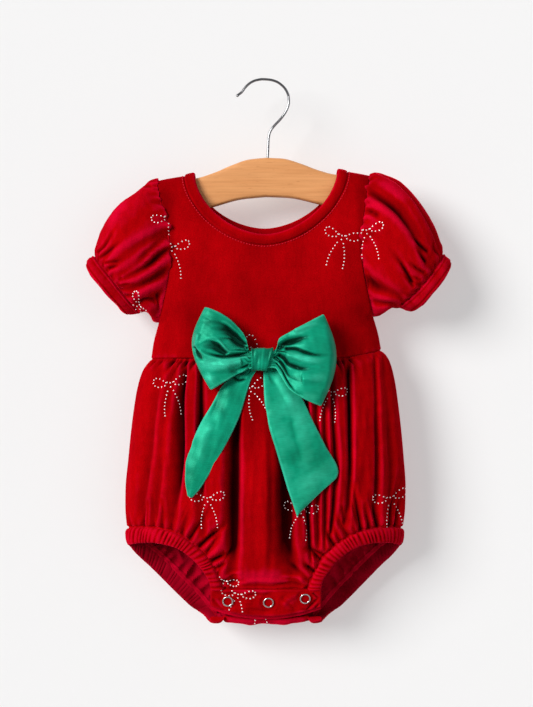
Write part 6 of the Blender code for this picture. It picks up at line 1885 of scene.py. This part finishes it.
def stud_form():
    """A low eight-sided dome: ((x, y, z) columns in millimetres, faces)."""
    sides = 8
    turn = np.linspace(0, 2 * math.pi, sides, endpoint=False)
    shares, heights = np.array(STUD_PROFILE).T[..., None]
    rings = STUD_RADIUS * shares * np.cos(turn), STUD_RADIUS * shares * np.sin(turn)
    points = np.stack([*rings, heights + 0 * turn]).reshape(3, -1, 1)
    faces, _, _ = wall_faces(len(STUD_PROFILE), sides)
    last = sides * (len(STUD_PROFILE) - 1)
    return points, np.concatenate([faces[:, ::-1], cap(0, sides), cap(last, sides)[:, ::-1]])


STITCH_ROWS = ((-0.5, 0.25), (-0.42, 0.85), (0.0, 1.1), (0.42, 0.85), (0.5, 0.25))
STITCH_CAPS = ((0, 1, 2, 3), (0, 3, 4, 5), (27, 26, 25, 24), (29, 28, 27, 24))


def stitch_row(name, line, normals, thread, pitch=2.6, length=1.7, radius=0.34):
    """A row of short raised stitches along a closed line of points, in millimetres."""
    closed = np.concatenate([line, line[:1]])
    ways = np.concatenate([normals, normals[:1]])
    along = run_along(closed)
    count = int(along[-1] / pitch)
    ring_turn = np.linspace(0, 2 * math.pi, 6, endpoint=False)
    base_faces, _, _ = wall_faces(len(STITCH_ROWS), 6)
    base_faces = np.concatenate([base_faces, np.array(STITCH_CAPS)])
    points, faces = [], []

    def at(s, table):
        return np.array([np.interp(s, along, table[:, k]) for k in range(3)])

    for k in range(count):
        middle = (k + 0.5) * along[-1] / count
        here, out = at(middle, closed), unit(at(middle, ways))
        tangent = unit(at(middle + 0.5, closed) - at(middle - 0.5, closed))
        side = np.cross(tangent, out)
        stitch = []
        for offset, size in STITCH_ROWS:
            centre = here + tangent * offset * length + out * 0.12
            for t in ring_turn:
                stitch.append(centre + radius * size * (math.cos(t) * side + 0.8 * math.sin(t) * out))
        faces.append(base_faces + len(points) * len(stitch))
        points.append(np.array(stitch))
    piece = new_mesh(name, place(np.concatenate(points)), np.concatenate(faces), [thread], sharp=80.0)
    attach(piece, "root")
    return piece


def neck_stitches(thread):
    """The cover stitch that holds the neck band's seam, just outside it."""
    loop, ways = [], []
    for side in ("front", "back"):
        x, below = mirrored(neck_curve(BAND_SEAM[side], 1.5)[None])[0].T
        points, normals = bodice_form(side, x, below)
        points[[0, -1], 1] = 0.0
        normals[[0, -1]] = (0.0, 0.0, 1.0)
        order = slice(None) if side == "front" else slice(None, None, -1)
        loop.append(points[order][:-1])
        ways.append(normals[order][:-1])
    return stitch_row("thread_neck", np.concatenate(loop), np.concatenate(ways), thread)


# ================================================================ stage, light and camera
VIEW_MIDDLE = Vector((0.0036, 0.0, -0.2402))
CAMERA_DISTANCE = 1.469
WALL_Y = 0.038
WALL_GLOW, WALL_SLOPES = 0.402, (-0.020, 0.035)  # the wall's painted light by its own emission, and its change a metre by X and Z
FLOOR_Z = -0.80


def stage_plane(name, corners, material):
    mesh = bpy.data.meshes.new(name)
    mesh.from_pydata(corners, [], [(0, 1, 2, 3)])
    mesh.materials.append(material)
    plane = bpy.data.objects.new(name, mesh)
    bpy.context.scene.collection.objects.link(plane)
    return plane


def stage():
    """A pale floor, and a pale wall that shows only from the front, so other views stay open."""
    look = Look("pale_wall")
    look.shade(Base_Color=(0.480, 0.480, 0.480, 1.0), Roughness=0.9, Specular_IOR_Level=0.1)
    # painted light: the wall glows by its own emission, brighter towards the left and the top
    look.shade(Emission_Color=(1.0, 0.99, 0.99, 1.0))
    wall = look.add("ShaderNodeNewGeometry")
    on_wall = look.add("ShaderNodeSeparateXYZ")
    look.link(wall, "Position", on_wall, "Vector")
    glow = [look.add("ShaderNodeMath", operation="MULTIPLY_ADD") for _ in range(2)]
    for node, axis, slope in zip(glow, "XZ", WALL_SLOPES):
        look.link(on_wall, axis, node, 0)
        node.inputs[1].default_value = slope
    glow[0].inputs[2].default_value = WALL_GLOW
    look.link(glow[0], "Value", glow[1], 2)
    look.link(glow[1], "Value", look.shader, "Emission Strength")
    either = look.add("ShaderNodeMath", operation="MAXIMUM")
    look.link(wall, "Backfacing", either, 0)
    look.link(look.add("ShaderNodeLightPath"), "Is Shadow Ray", either, 1)
    mix = look.add("ShaderNodeMixShader")
    look.link(either, "Value", mix, 0)
    look.link(look.shader, "BSDF", mix, 1)
    look.link(look.add("ShaderNodeBsdfTransparent"), "BSDF", mix, 2)
    look.link(mix, "Shader", look.tree.nodes["Material Output"], "Surface")
    reach, low, high = 1.6, FLOOR_Z, 1.4
    corners = [(-reach, WALL_Y, low), (reach, WALL_Y, low), (reach, WALL_Y, high), (-reach, WALL_Y, high)]
    stage_plane("wall", corners, look.material)
    look = Look("pale_floor")
    look.shade(Base_Color=(0.38, 0.38, 0.38, 1.0), Roughness=0.8)
    corners = [(x, y, FLOOR_Z) for x, y in ((-3, -3), (3, -3), (3, 3), (-3, 3))]
    stage_plane("floor", corners, look.material)


def add_light(name, kind, power, turned, at=(0.0, 0.0, 0.0), colour=(1.0, 1.0, 1.0), **shape):
    """A light that shines the way it is turned, at its place if it has one."""
    lamp = bpy.data.lights.new(name, kind)
    lamp.energy = power
    lamp.color = colour
    for key, value in shape.items():
        setattr(lamp, key, value)
    light = bpy.data.objects.new(name, lamp)
    light.location = at
    light.rotation_euler = turned.to_track_quat("-Z", "Y").to_euler()
    bpy.context.scene.collection.objects.link(light)


def lights():
    tint, soft = (1.0, 0.995, 0.985), math.radians(30.0)
    add_light("window", "SUN", 3.54, Vector((1.0, 1.0, -0.50)), colour=tint, angle=soft)
    middle = Vector((0.0, 0.0, -0.25))
    for name, at, size, power in (
        ("front_fill", (1.3, -2.0, 0.0), 2.2, 8.0),
        ("back_fill", (0.5, 1.6, 0.6), 1.4, 12.0),
        ("back_side", (-1.2, 1.3, 0.1), 1.2, 7.0),
    ):
        add_light(name, "AREA", power, middle - Vector(at), at, shape="DISK", size=size)
    world = bpy.data.worlds.new("studio")
    world.use_nodes = True
    sky = world.node_tree.nodes["Background"].inputs
    sky["Color"].default_value = (0.93, 0.95, 1.0, 1.0)
    sky["Strength"].default_value = 0.20
    bpy.context.scene.world = world
    bpy.context.scene.view_settings.view_transform = "Standard"


def camera():
    lens = bpy.data.cameras.new("camera")
    lens.lens = 85.0
    lens.sensor_fit = "VERTICAL"
    lens.sensor_height = 36.0
    eye = bpy.data.objects.new("camera", lens)
    eye.location = VIEW_MIDDLE + Vector((0.0, -CAMERA_DISTANCE, 0.0))
    eye.rotation_euler = (math.pi / 2, 0.0, 0.0)
    bpy.context.scene.collection.objects.link(eye)
    bpy.context.scene.camera = eye


# ================================================================ assembly
def dress():
    velvet, satin = velvet_material(), satin_material()
    cloth = [velvet, reverse_material("velvet_reverse", 1.0)]
    chrome = metal_material("chrome", (0.30, 0.30, 0.31), 0.10, 0.22)
    plated = metal_material("plated_steel", (0.66, 0.64, 0.63), 0.16, 0.34)
    bright = metal_material("bright_studs", (0.98, 0.93, 0.93), 0.36, 0.54, metallic=0.55)
    hanger_wood(wood_material())
    hanger_hook(chrome)
    bodice_panel("front", cloth, (0.20, 0.166), 0.024)
    bodice_panel("back", cloth, (0.20, 0.166), 0.025)
    neck_band(cloth)
    gathered_panel("front", SKIRT_CREASES, FRONT_FOLDS, cloth, (0.42, 0.20), 0.062)
    gathered_panel("back", BACK_SKIRT_CREASES, BACK_FOLDS, cloth, (0.42, 0.26), 0.075)
    casing_cloth = [velvet, reverse_material("casing_reverse", 0.7)]
    for hand in (LEFT, RIGHT):
        leg_casing(hand, casing_cloth)
        sleeve(hand, cloth)
        cuff_band(hand, cloth)
    plackets(cloth)
    bow_knot(satin)
    for hand in (LEFT, RIGHT):
        bow_loop(hand, satin)
        bow_tail(hand, satin)
    snap_rings(plated)
    for name, node in frame["nodes"].items():
        if name.startswith(("snap_core", "snap_back")):
            node.data.materials.clear()
            node.data.materials.append(plated)
    neck_stitches(thread_material())
    studs(bright)


dress()
stage()
lights()
camera()
